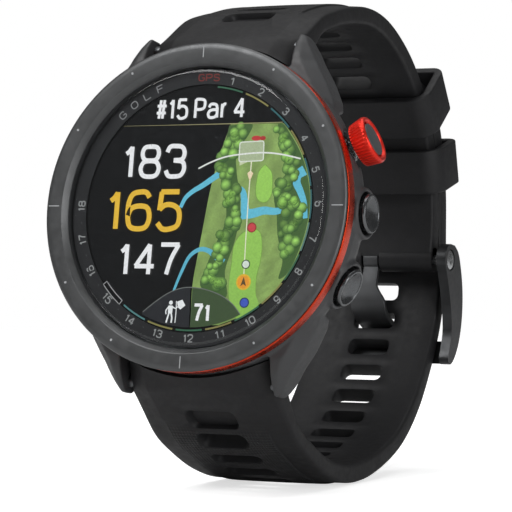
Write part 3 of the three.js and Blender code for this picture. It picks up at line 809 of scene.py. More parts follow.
def build_bezel():
    outline = rounded([
        (20.2, 0.9, 0.05), (20.92, 0.0, 0.12), (22.75, 0.0, 0.3), (23.3, 0.15, 0.2),
        (BEZEL_RADIUS, 0.45, 0.12), (23.2, 0.8, 0.1), (22.9, 0.8, 0.05), (22.0, 1.9, 0.1), (20.2, 1.9, 0.1),
    ], 0.1, 4)
    piece("bezel", lathe(outline, 256), GUNMETAL, replaces=["bezel_ring"], sharp=40)
    marks = []
    for hour in range(12):
        turn = Matrix.Rotation(math.radians(30 * hour), 4, "Y")
        if hour % 3 == 0:
            outline = rounded([(-0.07, 21.3), (0.07, 21.3), (0.07, 23.0), (-0.07, 23.0)], 0.05, 2)
        else:
            outline = [(0.17 * math.cos(a), 22.2 + 0.2 * math.sin(a))
                       for a in np.linspace(0, 2 * math.pi, 13)[:-1]]
        marks.append(moved(prism(outline, -0.015, 0.2, axis=1), turn))
    piece("bezel_marks", joined(*marks), MARK_PAINT)


def build_lens():
    outline = [(0, 0.5), (19.3, 0.5), (19.6, 0.56), (19.8, 0.7), (19.9, 0.9), (19.9, 1.7), (0, 1.7)]
    piece("lens_crystal", lathe(outline, 192), LENS_GLASS, replaces=["lens"])
    border = [(DISPLAY_RADIUS - 0.1, 1.78), (19.9, 1.78), (19.9, 1.86), (DISPLAY_RADIUS - 0.1, 1.86)]
    piece("lens_border", lathe(border, 192), DARK_PRINT)


def build_accent():
    outline = rounded([(22.3, 2.2), (23.1, 1.15), (23.35, 1.15), (23.45, 1.35), (23.45, 3.0), (23.3, 3.1),
                       (22.3, 3.1)], 0.08, 4)
    piece("accent_band", lathe(outline, 256), ACCENT, replaces=["accent_ring"], sharp=40)


# ---------- display ----------

BACK_LAYER = 2.09  # the deepest picture layer; each one after it lies LAYER_STEP nearer the lens
LAYER_STEP = 0.008
WHITE = (0.9, 0.9, 0.9)
YELLOW = (0.83, 0.5, 0.03)
STREAM = (0.12, 0.52, 0.68)
ROUGH = (0.26, 0.4, 0.1)
FAIRWAY = (0.3, 0.58, 0.09)
WOOD = (0.07, 0.17, 0.03)
TREE_LIGHT = (0.34, 0.66, 0.12)
TREE_DARK = (0.014, 0.07, 0.01)
RED_DOT = (0.6, 0.03, 0.03)
RIM_WIDTH = 0.12  # of the darker line round the green and the fairway


def round_outline(x, z, radius, count=20, tall=1.0):
    angles = [2 * math.pi * k / count for k in range(count)]
    return [(x + radius * math.cos(a), z + tall * radius * math.sin(a)) for a in angles]


def curve_line(points, steps=8):
    return [tuple(q) for q in spline(points, steps)]


def closed_curve(points, steps):
    return curve_line(points + points[:1], steps)[:-1]


def ribbon_outline(line, widths):
    """The outline of a stroke along a line; its width runs from the first to the second of widths."""
    left, right = [], []
    for i, (x, z) in enumerate(line):
        before, after = line[max(0, i - 1)], line[min(len(line) - 1, i + 1)]
        along = np.array(after, float) - np.array(before, float)
        along /= np.linalg.norm(along)
        half = (widths[0] + (widths[1] - widths[0]) * i / (len(line) - 1)) / 2
        left.append((x - half * along[1], z + half * along[0]))
        right.append((x + half * along[1], z - half * along[0]))
    return left + right[::-1]


ROUND = ((0.5, 1), (0.85, 0.93), (1, 0.75), (1, 0.25), (0.85, 0.07), (0.5, 0), (0.15, 0.07), (0, 0.25),
         (0, 0.75), (0.15, 0.93), (0.5, 1))
SIX = ((0.95, 0.85), (0.8, 0.98), (0.5, 1), (0.15, 0.93), (0, 0.7), (0, 0.3), (0.12, 0.07), (0.5, 0),
       (0.88, 0.07), (1, 0.3), (0.9, 0.55), (0.5, 0.62), (0.12, 0.54), (0, 0.36))
# The strokes of each sign, in a box one wide and one high. A line of two points is straight.
SIGNS = {
    "0": [ROUND],
    "1": [((0.7, 0), (0.7, 1)), ((0.1, 0.76), (0.4, 0.84), (0.7, 0.98))],
    "2": [((0, 0.74), (0.05, 0.92), (0.3, 1), (0.7, 1), (0.95, 0.9), (1, 0.72), (0.9, 0.55), (0.5, 0.3),
           (0.05, 0.02)),
          ((0, 0), (1, 0))],
    "3": [((0.02, 0.8), (0.15, 0.97), (0.5, 1), (0.85, 0.95), (0.97, 0.77), (0.88, 0.58), (0.4, 0.53)),
          ((0.4, 0.53), (0.92, 0.46), (1, 0.25), (0.85, 0.05), (0.5, 0), (0.15, 0.03), (0, 0.2))],
    "4": [((0.76, 0), (0.76, 1)), ((0.76, 1), (0, 0.27)), ((-0.04, 0.27), (1.05, 0.27))],
    "5": [((0.92, 1), (0.08, 1)), ((0.12, 1), (0.06, 0.5)),
          ((0.06, 0.52), (0.3, 0.64), (0.65, 0.64), (0.93, 0.52), (1, 0.32), (0.93, 0.1), (0.6, 0),
           (0.25, 0), (0, 0.16))],
    "6": [SIX],
    "7": [((0, 1), (1.04, 1)), ((1, 1), (0.62, 0.52), (0.4, 0))],
    "8": [((0.5, 1), (0.85, 0.95), (0.95, 0.77), (0.85, 0.58), (0.5, 0.53), (0.15, 0.58), (0.05, 0.77),
           (0.15, 0.95), (0.5, 1)),
          ((0.5, 0.53), (0.88, 0.46), (1, 0.26), (0.88, 0.06), (0.5, 0), (0.12, 0.06), (0, 0.26),
           (0.12, 0.46), (0.5, 0.53))],
    "9": [tuple((1 - x, 1 - z) for x, z in SIX)],
    "#": [((0.28, 0), (0.42, 1)), ((0.66, 0), (0.8, 1)), ((0.02, 0.3), (1, 0.3)),
          ((0.06, 0.68), (1.04, 0.68))],
    "P": [((0, 0), (0, 1)), ((0, 1), (0.6, 1), (0.95, 0.92), (1, 0.74), (0.92, 0.55), (0.6, 0.46),
                             (0, 0.46))],
    "a": [((0.05, 0.55), (0.2, 0.7), (0.55, 0.73), (0.85, 0.66), (0.95, 0.48)), ((0.95, 0.5), (0.95, 0)),
          ((0.95, 0.42), (0.45, 0.42), (0.1, 0.34), (0, 0.18), (0.12, 0.03), (0.45, 0), (0.8, 0.06),
           (0.95, 0.2))],
    "r": [((0.1, 0), (0.1, 0.73)), ((0.1, 0.42), (0.3, 0.63), (0.6, 0.72), (0.95, 0.71))],
    "G": [((0.95, 0.8), (0.8, 0.97), (0.5, 1), (0.15, 0.93), (0, 0.7), (0, 0.3), (0.15, 0.07), (0.5, 0),
           (0.85, 0.05), (1, 0.25), (1, 0.45)), ((1, 0.46), (0.55, 0.46))],
    "O": [ROUND],
    "L": [((0, 1), (0, 0)), ((0, 0), (1, 0))],
    "F": [((0, 0), (0, 1)), ((0, 1), (1, 1)), ((0, 0.52), (0.85, 0.52))],
    "S": [((0.95, 0.8), (0.8, 0.97), (0.5, 1), (0.15, 0.95), (0.02, 0.76), (0.15, 0.58), (0.5, 0.51),
           (0.85, 0.44), (1, 0.24), (0.85, 0.05), (0.5, 0), (0.15, 0.04), (0, 0.2))],
}
NARROW = {"1": 0.6, "r": 0.6, " ": 0.3}  # all other signs are one wide
SIGN_GAP = 0.32


class Picture:
    """Flat coloured shapes laid on each other, drawn as [x, z], each a very thin solid."""

    def __init__(self, back, front_limit):
        self.level = back
        self.front_limit = front_limit
        self.verts, self.faces, self.tints = [], [], []

    def layer(self):
        self.level = max(self.level - LAYER_STEP, self.front_limit)

    def flat(self, points, faces, tint):
        """Two skins of the given faces and the walls between them, on the present layer."""
        start, count = len(self.verts), len(points)
        for level in (self.level, self.level + 0.004):
            for x, z in points:
                self.verts.append((x, level, z))
                self.tints.append(tint(x, z) if callable(tint) else tint)
        borders = {}
        for face in faces:
            self.faces.append([start + k for k in face])
            self.faces.append([start + count + k for k in reversed(face)])
            for a, b in zip(face, face[1:] + face[:1]):
                borders[(a, b)] = True
        for a, b in borders:
            if (b, a) not in borders:
                self.faces.append([start + b, start + a, start + count + a, start + count + b])

    def shape(self, outline, tint):
        triangles = tessellate_polygon([[Vector((x, z, 0)) for x, z in outline]])
        self.flat(outline, [list(t) for t in triangles], tint)

    def dome(self, x, z, radius, middle, edge):
        """A disc that is bright up to the left of its middle and dark at its edge."""
        rim = round_outline(x, z, radius, 10)
        ring = round_outline(x, z, radius * 0.55, 10)
        points = [(x - 0.15 * radius, z + 0.2 * radius), *ring, *rim]
        tints = {0: middle}
        faces = []
        for k in range(10):
            n = (k + 1) % 10
            faces.append([0, 1 + k, 1 + n])
            faces.append([1 + k, 11 + k, 11 + n, 1 + n])
            lit = 0.5 + 0.5 * math.cos(2 * math.pi * (k / 10 - 0.33))
            tints[1 + k] = tuple(edge[c] + (middle[c] - edge[c]) * (0.25 + 0.6 * lit) for c in range(3))
            tints[11 + k] = tuple(edge[c] + (middle[c] - edge[c]) * 0.22 * lit for c in range(3))
        start = len(self.tints)
        self.flat(points, faces, edge)
        for k, tint in tints.items():
            self.tints[start + k] = self.tints[start + len(points) + k] = tint

    def stroke(self, points, widths, tint, steps=8):
        self.shape(ribbon_outline(curve_line(points, steps), widths), tint)

    def words(self, text, left, right, low, high, tint, weight, turn=0.0):
        """A text of strokes filling a box, then turned about the watch's middle by degrees clockwise."""
        stroke = weight * (high - low)
        widths = [NARROW.get(sign, 1.0) for sign in text]
        unit = (right - left + stroke * (len(text) - 1)) / (sum(widths) + SIGN_GAP * (len(text) - 1))
        c, s = math.cos(math.radians(turn)), math.sin(math.radians(turn))
        at = left
        for sign, width in zip(text, widths):
            for line in SIGNS.get(sign, ()):
                placed = []
                for px, pz in (line if len(line) == 2 else curve_line(line, 4)):
                    x = at + stroke / 2 + px * (width * unit - stroke)
                    z = low + stroke / 2 + pz * (high - low - stroke)
                    placed.append((x * c + z * s, z * c - x * s))
                self.shape(ribbon_outline(placed, (stroke, stroke)), tint)
            at += (width + SIGN_GAP) * unit - stroke
    def build(self, name, material, slot):
        item = mesh_object(name, (self.verts, self.faces), material, sharp=20)
        store = item.data.color_attributes.new("tint", "FLOAT_COLOR", "POINT")
        store.data.foreach_set("color", np.array([(*t, 1) for t in self.tints], np.float32).ravel())
        return settle(item, "watch")


def arc_line(radius, start, end, steps=10):
    """Points on a circle about the watch's middle, by degrees clockwise from 12 o'clock."""
    angles = [math.radians(start + (end - start) * k / steps) for k in range(steps + 1)]
    return [(radius * math.sin(a), radius * math.cos(a)) for a in angles]


def draw_course(picture):
    """The map of the hole: rough, fairway, water, woods and what is marked on them."""
    left_edge = [(0.2, -16.9), (0.0, -11), (0.5, -6.5), (1.2, -0.8), (1.7, 2.9), (2.5, 6.6), (3.2, 9.2),
                 (4.1, 11.9)]
    mottle = random.Random(5)

    def rough(x, z):
        share = 0.9 + 0.25 * math.sin(1.7 * x + 0.6) * math.sin(0.9 * z) + mottle.uniform(-0.06, 0.06)
        return plain_shade(ROUGH, share)

    rows = 26
    points, faces, columns = [], [], 14
    left = spline(left_edge, 12)
    for i in range(rows + 1):
        z = -16.6 + 28.6 * i / rows
        x0 = float(np.interp(z, left[:, 1], left[:, 0]))
        x1 = math.sqrt(17.2 ** 2 - z * z)
        for k in range(columns + 1):
            points.append((x0 + (x1 - x0) * k / columns, z))
    for i in range(rows):
        for k in range(columns):
            a = i * (columns + 1) + k
            faces.append([a, a + 1, a + columns + 2, a + columns + 1])
    picture.flat(points, faces, rough)
    picture.layer()

    wood_left = [(3.9, 11.8), (3.4, 9), (2.9, 6.4), (3.5, 3.6), (4.2, 1), (4.4, -2), (3, -5.4), (1.9, -8.4),
                 (1.2, -11), (3.2, -12.4), (5.4, -12.6), (4.9, -9), (6, -5), (6.6, -1), (6.2, 2.4),
                 (5.6, 5), (5.4, 8), (7, 10.4), (7.5, 11.9)]
    wood_right = [(11.4, 11.9), (12.1, 8.6), (13.2, 5.2), (11.6, 2), (12.2, -1), (12.6, -4), (13.6, -7.6),
                  (13.2, -10), (14.3, -9.4), (16.1, -5.6), (17.1, -1), (16.8, 3.2), (15.4, 7.4),
                  (13.6, 10.2), (12.2, 11.9)]
    for outline in (wood_left, wood_right):
        picture.shape(closed_curve(outline, 5), plain_shade(WOOD, 0.7))
    picture.layer()
    picture.stroke([(-2.9, -11.9), (-1.9, -9.2), (-0.7, -6.8), (0.8, -5.9), (2.1, -6.1), (3.4, -7.0),
                    (4.6, -7.7)],
                   (0.35, 0.9), plain_shade(STREAM, 0.9))
    picture.stroke([(-2.8, 0.1), (-2.1, 1.5), (-0.9, 2.5), (0.2, 3.1), (1.6, 4.0), (3.0, 4.9), (4.2, 5.4)],
                   (0.55, 1.0), STREAM)
    picture.stroke([(5.6, 3.1), (6.7, 2.4), (7.1, 1.0), (7.3, -0.3)], (0.6, 1.3), STREAM)
    picture.stroke([(6.7, -0.9), (8.4, -0.8), (10.2, -0.4), (12.0, -0.5), (13.4, -0.2)], (1.5, 0.8), STREAM)
    picture.stroke([(16.0, 5.3), (15.0, 4.6), (14.9, 3.6), (15.5, 2.4), (16.2, 0.8), (16.6, -1.5)],
                   (1.5, 0.7), STREAM)
    picture.layer()
    green = [(9.9, 6.1), (9.1, 5.2), (8.8, 3.4), (8.9, 1.7), (9.6, 0.9), (10.5, 0.9), (11.1, 1.7),
             (11.2, 3.4), (10.9, 5.1)]
    long_fairway = [(9.0, -2.9), (9.9, -3.6), (10.3, -5.4), (10.2, -7.6), (9.8, -9.6), (9.9, -12.2),
                    (10.4, -13.6), (8.4, -15.0), (7.3, -15.6), (5.9, -12.9), (5.7, -10.6), (5.9, -7.8),
                    (6.1, -5.2), (7.0, -3.8), (8.2, -3.1)]
    for outline in (green, long_fairway):
        smooth_line = closed_curve(outline, 6)
        middle = np.mean(smooth_line, axis=0)
        spokes = [np.array(q) - middle for q in smooth_line]
        wider = [tuple(middle + spoke * (1 + RIM_WIDTH / np.linalg.norm(spoke))) for spoke in spokes]
        picture.shape(wider, plain_shade(FAIRWAY, 0.6))
        picture.layer()
        picture.shape(smooth_line, lambda x, z: plain_shade(FAIRWAY, 0.98 + 0.01 * (z + 8)))
        picture.layer()
    draw_trees(picture)
    draw_marks(picture)


def draw_trees(picture):
    """Tree crowns scattered down both woods, the far ones first."""
    scatter = random.Random(11)
    left_wood = [(5.6, 11.2), (4.6, 8.6), (3.6, 6.2), (4.6, 4.0), (5.2, 1.2), (5.4, -1.8), (4.4, -4.6),
                 (3.6, -7.6), (2.6, -10.2), (4.4, -11.6)]
    right_wood = [(12.2, 11.2), (13.2, 8.8), (14.2, 6.2), (13.2, 3.6), (12.9, 1.2), (14.8, 0.2),
                  (14.2, -2.6), (14.4, -5.2), (14.3, -7.8)]
    crowns = []
    for wood, spread, count in ((left_wood, 1.0, 62), (right_wood, 1.15, 62)):
        line = spline(wood, 12)
        for k in range(count):
            x, z = line[int((k + scatter.random()) / count * (len(line) - 1))]
            x += scatter.uniform(-spread, spread)
            z += scatter.uniform(-0.5, 0.5)
            radius = scatter.uniform(0.55, 0.92)
            if math.hypot(x, z) + radius < 17.1:
                crowns.append((x, z, radius, scatter.random()))
    crowns.sort(key=lambda crown: crown[3])
    for k, (x, z, radius, shade) in enumerate(crowns):
        if k % 31 == 30:
            picture.layer()
        lit = 0.4 + 0.9 * shade
        picture.dome(x, z, radius, plain_shade(TREE_LIGHT, lit), TREE_DARK)
    picture.layer()


def draw_marks(picture):
    """The aim line with its distance arc, the green's frame, the ball places and the flag."""
    picture.shape(round_outline(8.3, 9.9, 0.75, 14, 0.5), plain_shade(RED_DOT, 0.9))
    picture.shape(round_outline(9.3, 9.9, 0.45, 14, 0.7), plain_shade(RED_DOT, 0.7))
    picture.layer()
    picture.shape(rounded([(5.9, 6.6), (9.55, 6.75), (9.45, 9.45), (5.85, 9.3)], 0.3), (0.42, 0.5, 0.3))
    picture.shape([(5.9, 6.9), (6.0, 6.0), (7.6, 6.7)], (0.6, 0.66, 0.4))
    picture.layer()
    frame_line = rounded([(5.85, 6.55), (9.6, 6.7), (9.5, 9.5), (5.8, 9.35)], 0.35, 4)
    picture.shape(ribbon_outline(frame_line + frame_line[:1], (0.17, 0.17)), (0.75, 0.8, 0.68))
    picture.stroke([(-0.4, 5.65), (1.4, 6.5), (3.8, 7.3), (7.6, 7.75), (10.1, 7.8), (12.6, 7.5), (15.3, 6.9)],
                   (0.22, 0.22), (0.82, 0.84, 0.78))
    picture.layer()
    picture.stroke([(7.8, 6.6), (7.75, 2), (7.8, -4), (7.9, -9.4)], (0.16, 0.14), (0.85, 0.84, 0.62))
    picture.shape([(7.3, 4.9), (7.75, 5.3), (8.2, 4.9), (7.95, 4.2), (7.75, 3.9), (7.55, 4.2)],
                  (0.9, 0.7, 0.45))
    picture.layer()
    for x, z, size, rim, tint in (
        (8.6, -2.8, 0.72, (0.28, 0.02, 0.02), (0.62, 0.05, 0.06)),
        (8.1, -8.0, 0.66, (0.02, 0.05, 0.02), (0.72, 0.8, 0.7)),
        (8.3, -13.4, 0.74, (0.01, 0.02, 0.1), (0.04, 0.09, 0.5)),
        (7.95, -10.5, 1.12, (0.8, 0.45, 0.02), (0.85, 0.33, 0.02)),
    ):
        picture.shape(round_outline(x, z, size, 24), rim)
        picture.layer()
        picture.shape(round_outline(x, z, size * 0.78, 24), tint)
        picture.layer()
    picture.shape([(7.95, -9.75), (8.4, -11.1), (7.95, -10.8), (7.5, -11.1)], (0.1, 0.06, 0.01))
    picture.layer()


def draw_golfer(picture):
    """A small sign of a player with a flag."""
    tint = (0.85, 0.87, 0.86)
    picture.shape(round_outline(-3.05, -13.55, 0.3, 12), tint)
    picture.shape(rounded([(-3.45, -13.95), (-2.7, -13.95), (-2.75, -15.1), (-3.4, -15.1)], 0.15, 3), tint)
    for line, width in (
        ([(-3.35, -14.1), (-3.75, -14.7), (-3.7, -15.2)], 0.17),
        ([(-2.8, -14.1), (-2.3, -14.35), (-1.95, -14.1)], 0.17),
        ([(-3.25, -15), (-3.45, -15.8), (-3.6, -16.4)], 0.24),
        ([(-2.9, -15), (-2.75, -15.7), (-2.8, -16.4)], 0.24),
        ([(-2.2, -13.3), (-2.15, -15), (-2.2, -16.4)], 0.13),
    ):
        picture.stroke(line, (width, width), tint, 4)
    picture.shape([(-2.1, -13.4), (-1.3, -13.1), (-0.75, -13.9), (-1.5, -14.5), (-1.9, -14.2)], tint)


def build_display():
    """The lit picture on the display panel, and the hole numbers printed round it."""
    picture = Picture(BACK_LAYER, 1.79)
    draw_course(picture)
    dome = [(-7.4, -14.9), (-5.2, -13.2), (-3.2, -12), (-1.2, -11.4), (0.8, -11.4), (2.9, -11.8),
            (5, -12.6), (6.6, -13.7), (7.8, -15.0)]
    dome_line = curve_line(dome, 6)
    foot = arc_line(17.0, 152.5, 206.3, 20)
    picture.shape([q for q in dome_line if q[0] > 0.1] + foot[:9] + [(0.2, -17.0)], (0.035, 0.07, 0.02))
    picture.shape([q for q in dome_line if q[0] < 0.1] + [(0.05, -17.0)] + foot[11:], (0.004, 0.005, 0.008))
    picture.layer()
    picture.shape(ribbon_outline(dome_line, (0.13, 0.13)), (0.14, 0.15, 0.14))
    picture.layer()
    picture.stroke([(-12.8, 11.95), (-4, 11.98), (4, 12.02)], (0.03, 0.12), (0.33, 0.3, 0.14))
    picture.stroke([(4, 12.02), (9, 12.06), (12.2, 12.1)], (0.12, 0.1), (0.38, 0.38, 0.16))
    picture.words("#15 Par 4", -7.9, 6.3, 12.75, 15.85, WHITE, 0.135)
    picture.words("183", -12.5, -2.3, 4.2, 9.25, WHITE, 0.13)
    picture.words("165", -14.5, -2.4, -3.4, 2.7, YELLOW, 0.125)
    picture.words("147", -12.0, -2.2, -9.85, -4.95, WHITE, 0.13)
    picture.words("71", 0.45, 3.2, -16.25, -13.6, WHITE, 0.17)
    draw_golfer(picture)
    picture.build("display_picture", PIXELS, "screen")
    build_hole_ring()


RING_GREEN, RING_TEAL, RING_YELLOW = (0.04, 0.2, 0.1), (0.03, 0.2, 0.22), (0.4, 0.36, 0.1)
HOLE_ARCS = (
    RING_GREEN, RING_YELLOW, RING_TEAL, RING_YELLOW, RING_TEAL, RING_TEAL, (0.16, 0.34, 0.3), RING_GREEN,
    RING_YELLOW, RING_GREEN, RING_YELLOW, RING_GREEN, RING_YELLOW, (0.12, 0.36, 0.36),
)
HOLE_STEP = 15.2  # degrees between hole numbers
FIRST_HOLE = 12.5
NUMBER_TINT = (0.5, 0.51, 0.5)


def build_hole_ring():
    """Numbers 1 to 18 round the edge, upright at the bottom, with the arc of each hole played so far."""
    ring = Picture(1.772, 1.72)
    for number in range(1, 19):
        turn = FIRST_HOLE + HOLE_STEP * (number - 1)
        half = 0.4 if number < 10 else 0.78
        if 8 <= number <= 15:
            ring.words(str(number), -half, half, -19.15, -17.98, NUMBER_TINT, 0.15, turn + 180)
        else:
            ring.words(str(number), -half, half, 17.98, 19.15, NUMBER_TINT, 0.15, turn)
        tick = turn + HOLE_STEP / 2
        if number < 18:
            mark = arc_line(18.5, tick - 0.35, tick + 0.35, 2)
            ring.shape(ribbon_outline(mark, (0.12, 0.12)), (0.12, 0.12, 0.12))
    ring.words("GPS", -1.7, 1.7, 18.2, 19.3, (0.32, 0.03, 0.02), 0.15, 1)
    for k, letter in enumerate("GOLF"):
        ring.words(letter, -0.55, 0.55, 18.2, 19.35, (0.4, 0.4, 0.4), 0.14, -44 + 7 * k)
    for k, tint in enumerate(HOLE_ARCS):
        turn = FIRST_HOLE + HOLE_STEP * k
        ring.shape(ribbon_outline(arc_line(17.45, turn - 6.7, turn + 6.7), (0.24, 0.24)), tint)
    turn = FIRST_HOLE + HOLE_STEP * 14
    box = arc_line(17.15, turn - 6.4, turn + 6.4) + arc_line(17.85, turn + 6.4, turn - 6.4)
    ring.shape(ribbon_outline(box + box[:1], (0.13, 0.13)), (0.6, 0.6, 0.6))
    # The numbers, ticks and words are print made to glow here: painted light. The arcs and the frame of the
    # hole played are display light.
    ring.build("hole_ring", PRINT_PAINTED_GLOW, "lens_glass")


# ---------- case ----------


def raw_object(name, part):
    """A plain object in millimetres, for working on only."""
    verts, faces = part
    mesh = bpy.data.meshes.new(name)
    mesh.from_pydata([Vector(v) for v in verts], [], faces)
    work = bmesh.new()
    work.from_mesh(mesh)
    bmesh.ops.recalc_face_normals(work, faces=work.faces)
    work.to_mesh(mesh)
    work.free()
    item = bpy.data.objects.new(name, mesh)
    bpy.context.scene.collection.objects.link(item)
    return item


def worked(part, cutters=(), voxel=None, smoothing=0):
    """A part with its cutters taken away, and its solids melted together where voxel is given."""
    item = raw_object("work", part)
    tools = [raw_object("tool", cutter) for cutter in cutters]
    for tool in tools:
        cut = item.modifiers.new("cut", "BOOLEAN")
        cut.operation = "DIFFERENCE"
        cut.solver = "EXACT"
        cut.object = tool
    if voxel:
        melt = item.modifiers.new("melt", "REMESH")
        melt.mode = "VOXEL"
        melt.voxel_size = voxel
        relax = item.modifiers.new("relax", "SMOOTH")
        relax.factor = 0.5
        relax.iterations = smoothing
    graph = bpy.context.evaluated_depsgraph_get()
    mesh = bpy.data.meshes.new_from_object(item.evaluated_get(graph))
    verts, faces = [tuple(v.co) for v in mesh.vertices], [list(p.vertices) for p in mesh.polygons]
    for used in [item, *tools]:
        bpy.data.objects.remove(used)
    return verts, faces


def radial_matrix(degrees):
    """Takes a piece turned about y to one of the buttons, with its y running out of the case."""
    c, s = math.cos(math.radians(degrees)), math.sin(math.radians(degrees))
    return Matrix(((0, c, s, 0), (1, 0, 0, BUTTON_Y), (0, s, -c, 0), (0, 0, 0, 1)))


LUG_WIDTHS = ((14.5, 18.6), (16, 18.3), (18.6, 16.9), (21.5, 15.15), (24.3, 13.5), (25.4, 12.9), (25.9, 12.5))
LUG_FRONTS = ((14.5, 3.5), (18, 3.75), (20.8, 4.0), (22.8, 4.5), (24.4, 5.3), (25.9, 6.6))
LUG_BACKS = ((14.5, 10.1), (16.5, 10.6), (19.5, 11.3), (23.6, 11.0), (25.2, 10.0), (25.9, 9.0))


def along(table, at):
    return float(np.interp(at, [row[0] for row in table], [row[1] for row in table]))


def lug_horn(side, end):
    """One lug, as sections across it from inside the case to its tip."""
    sections = []
    for z in np.linspace(14.5, 25.9, 24):
        inner, outer = STRAP_HALF_LUG + 0.3, along(LUG_WIDTHS, z)
        front, back = along(LUG_FRONTS, z), along(LUG_BACKS, z)
        chamfer = min(1.5, 0.45 * (outer - inner), 0.3 * (back - front))
        corners = [
            (inner, front), (outer - 1.2 * chamfer, front), (outer - 0.1, front + 1.1 * chamfer),
            (outer, back - 1.2 * chamfer), (outer - chamfer, back), (inner, back),
        ]
        sections.append([(side * x, y, end * z) for x, y in corners])
    return loft(sections)


PRESS_ROOM = 0.9  # travel and clearance under a button's cap
WELL_RADII = {"top": 3.3, "middle": 3.0, "bottom": 3.0}
CAP_UNDERSIDES = {"top": 23.8, "middle": 23.2, "bottom": 23.2}  # distance from the watch's middle


def build_case():
    shell = lathe([
        (21.0, 3.4), (23.25, 3.4), (23.5, 4.2), (23.45, 6.3), (22.9, 8.1), (21.7, 9.7), (20.9, 10.3),
        (15.6, 10.3), (15.6, 8.8), (21.0, 8.8),
    ], 160)
    wells = []
    for name, degrees in BUTTON_ANGLES.items():
        floor = CAP_UNDERSIDES[name] - PRESS_ROOM
        radius = WELL_RADII[name]
        well = [(0, 15), (2.7, 15), (2.7, floor), (radius, floor), (radius, 30), (0, 30)]
        wells.append(moved(lathe(well, 64), radial_matrix(degrees)))
    lugs = [lug_horn(side, end) for side in (-1, 1) for end in (-1, 1)]
    guards = []
    for name, degrees in BUTTON_ANGLES.items():
        if name != "top":
            ring = [(3.0, 20.5), (3.75, 20.5), (3.65, 23.6), (3.3, 23.95), (3.0, 23.6)]
            guards.append(moved(lathe(ring, 64), radial_matrix(degrees)))
    body = joined(worked(shell, wells), *lugs, *guards)
    piece("case_shell", worked(body, voxel=0.2, smoothing=7), POLYMER,
          replaces=["case_body"], sharp=60)


# ---------- buttons ----------


def toothed(part, teeth, low, high, depth, degrees):
    """Grooves cut along a turned piece, on its outer side between two distances along it."""
    verts, faces = part
    moved_verts = []
    for x, y, z in verts:
        radius = math.hypot(x, z)
        if low < y < high and radius > 2.85:
            angle = math.atan2(z, x)
            wave = max(-0.6, math.cos(teeth * angle))
            radius_now = radius + depth * (wave - 0.6)
            x, z = x * radius_now / radius, z * radius_now / radius
        moved_verts.append((x, y, z))
    return moved((moved_verts, faces), radial_matrix(degrees))


def build_buttons():
    angle, base = BUTTON_ANGLES["top"], CAP_UNDERSIDES["top"]
    grip = [(2.62, 0.3), (2.9, 0.0), (3.08, 0.1)]
    grip += [(3.12 + 0.33 * k / 8, 0.25 + 1.8 * k / 8) for k in range(9)]
    grip += [(3.42, 2.3), (3.3, 2.55), (3.12, 2.65), (2.95, 2.6), (2.62, 2.1)]
    grip = [(radius, base + y) for radius, y in grip]
    ring = toothed(lathe(grip, 336), 42, base + 0.2, base + 2.1, 0.07, angle)
    piece("button_top_grip", ring, RED, body="button_top", replaces=["button_top_ring"],
          sharp=50)
    cap = rounded([(0.01, base, 0), (2.4, base), (2.4, base + 2.5), (0.01, base + 2.6, 0)], 0.14)
    cap = [(0, base)] + [q for q in cap if q[0] > 0.05] + [(0, base + 2.6)]
    piece("button_top_face", moved(lathe(cap, 96), radial_matrix(angle)), BUTTON_CAP, body="button_top",
          replaces=["button_top_cap"])
    for name in ("middle", "bottom"):
        bowl = [(0, 0)] + rounded([(2.5, 0), (2.7, 0.2), (2.7, 0.8), (2.82, 1.0), (2.68, 1.38),
                                   (2.34, 1.36)], 0.1, 3)
        bowl += [(2.12, 1.1), (1.8, 0.85), (1.3, 0.67), (0.7, 0.57), (0, 0.55)]
        bowl = [(radius, CAP_UNDERSIDES[name] + y) for radius, y in bowl]
        piece(f"button_{name}_face", moved(lathe(bowl, 96), radial_matrix(BUTTON_ANGLES[name])), BOWL_STEEL,
              body=f"button_{name}", replaces=[f"button_{name}_cap"])


# ---------- keepers and buckle ----------


def corner_loop(half, low, high, low_radius, high_radius, steps=8):
    """Points round a rectangle with rounded corners: (x, n), the same number for any size."""
    loop = []
    corners = ((1, high, high_radius, 0), (-1, high, high_radius, 90), (-1, low, low_radius, 180),
               (1, low, low_radius, 270))
    for side, level, radius, start in corners:
        centre = (side * (half - radius), level - radius if level == high else level + radius)
        for k in range(steps + 1):
            a = math.radians(start + 90 * k / steps)
            loop.append((centre[0] + radius * math.cos(a), centre[1] + radius * math.sin(a)))
    return loop


def keeper_part(degrees):
    wall, height, half = 1.4, 7.2, 12.7
    low = -2.05  # measured outwards from the strap's wrist side
    high = LAYER_PITCH + STRAP_THICK + 0.3 + wall
    outside = corner_loop(half, low, high, 3.4, 2.0)
    inside = corner_loop(half - wall, low + wall, high - wall, 1.4, 0.5)
    a = math.radians(degrees)
    out, up = np.array([math.cos(a), math.sin(a)]), np.array([-math.sin(a), math.cos(a)])
    start = np.array(WRAP_CENTRE) + WRAP_RADIUS * out
    sections = []
    for far, near in zip(outside, inside):
        section = rounded([(0, -height / 2), (1, -height / 2), (1, height / 2), (0, height / 2)], 0.3, 4)
        soft = []
        for share, rise in section:
            x, n = (near[i] + (far[i] - near[i]) * share for i in (0, 1))
            place = start + n * out + rise * up
            soft.append((x, *place))
        sections.append(soft)
    return loft(sections, closed=True)


def build_keepers():
    for name, degrees in KEEPER_ANGLES.items():
        piece(f"keeper_{name}_loop", keeper_part(degrees), SILICONE, body=f"keeper_{name}",
              replaces=[f"keeper_{name}"], sharp=50)


FRAME_LINE = ((66.4, 1.1), (68.3, -2.3), (69.7, -5.5), (70.3, -8.3), (69.7, -11.4), (69.4, -12.9),
              (70.3, -13.6), (71.6, -13.0), (73.1, -11.2), (74.2, -8.6), (74.7, -5.0), (74.2, -0.9),
              (72.9, 2.4), (71.2, 4.9), (69.4, 5.8))
TONGUE_LINE = ((67.2, 1.75), (66.7, -1.5), (67.0, -4.6), (68.7, -6.2), (71.0, -6.95), (73.0, -7.7),
               (73.9, -9.2), (73.2, -12.6))

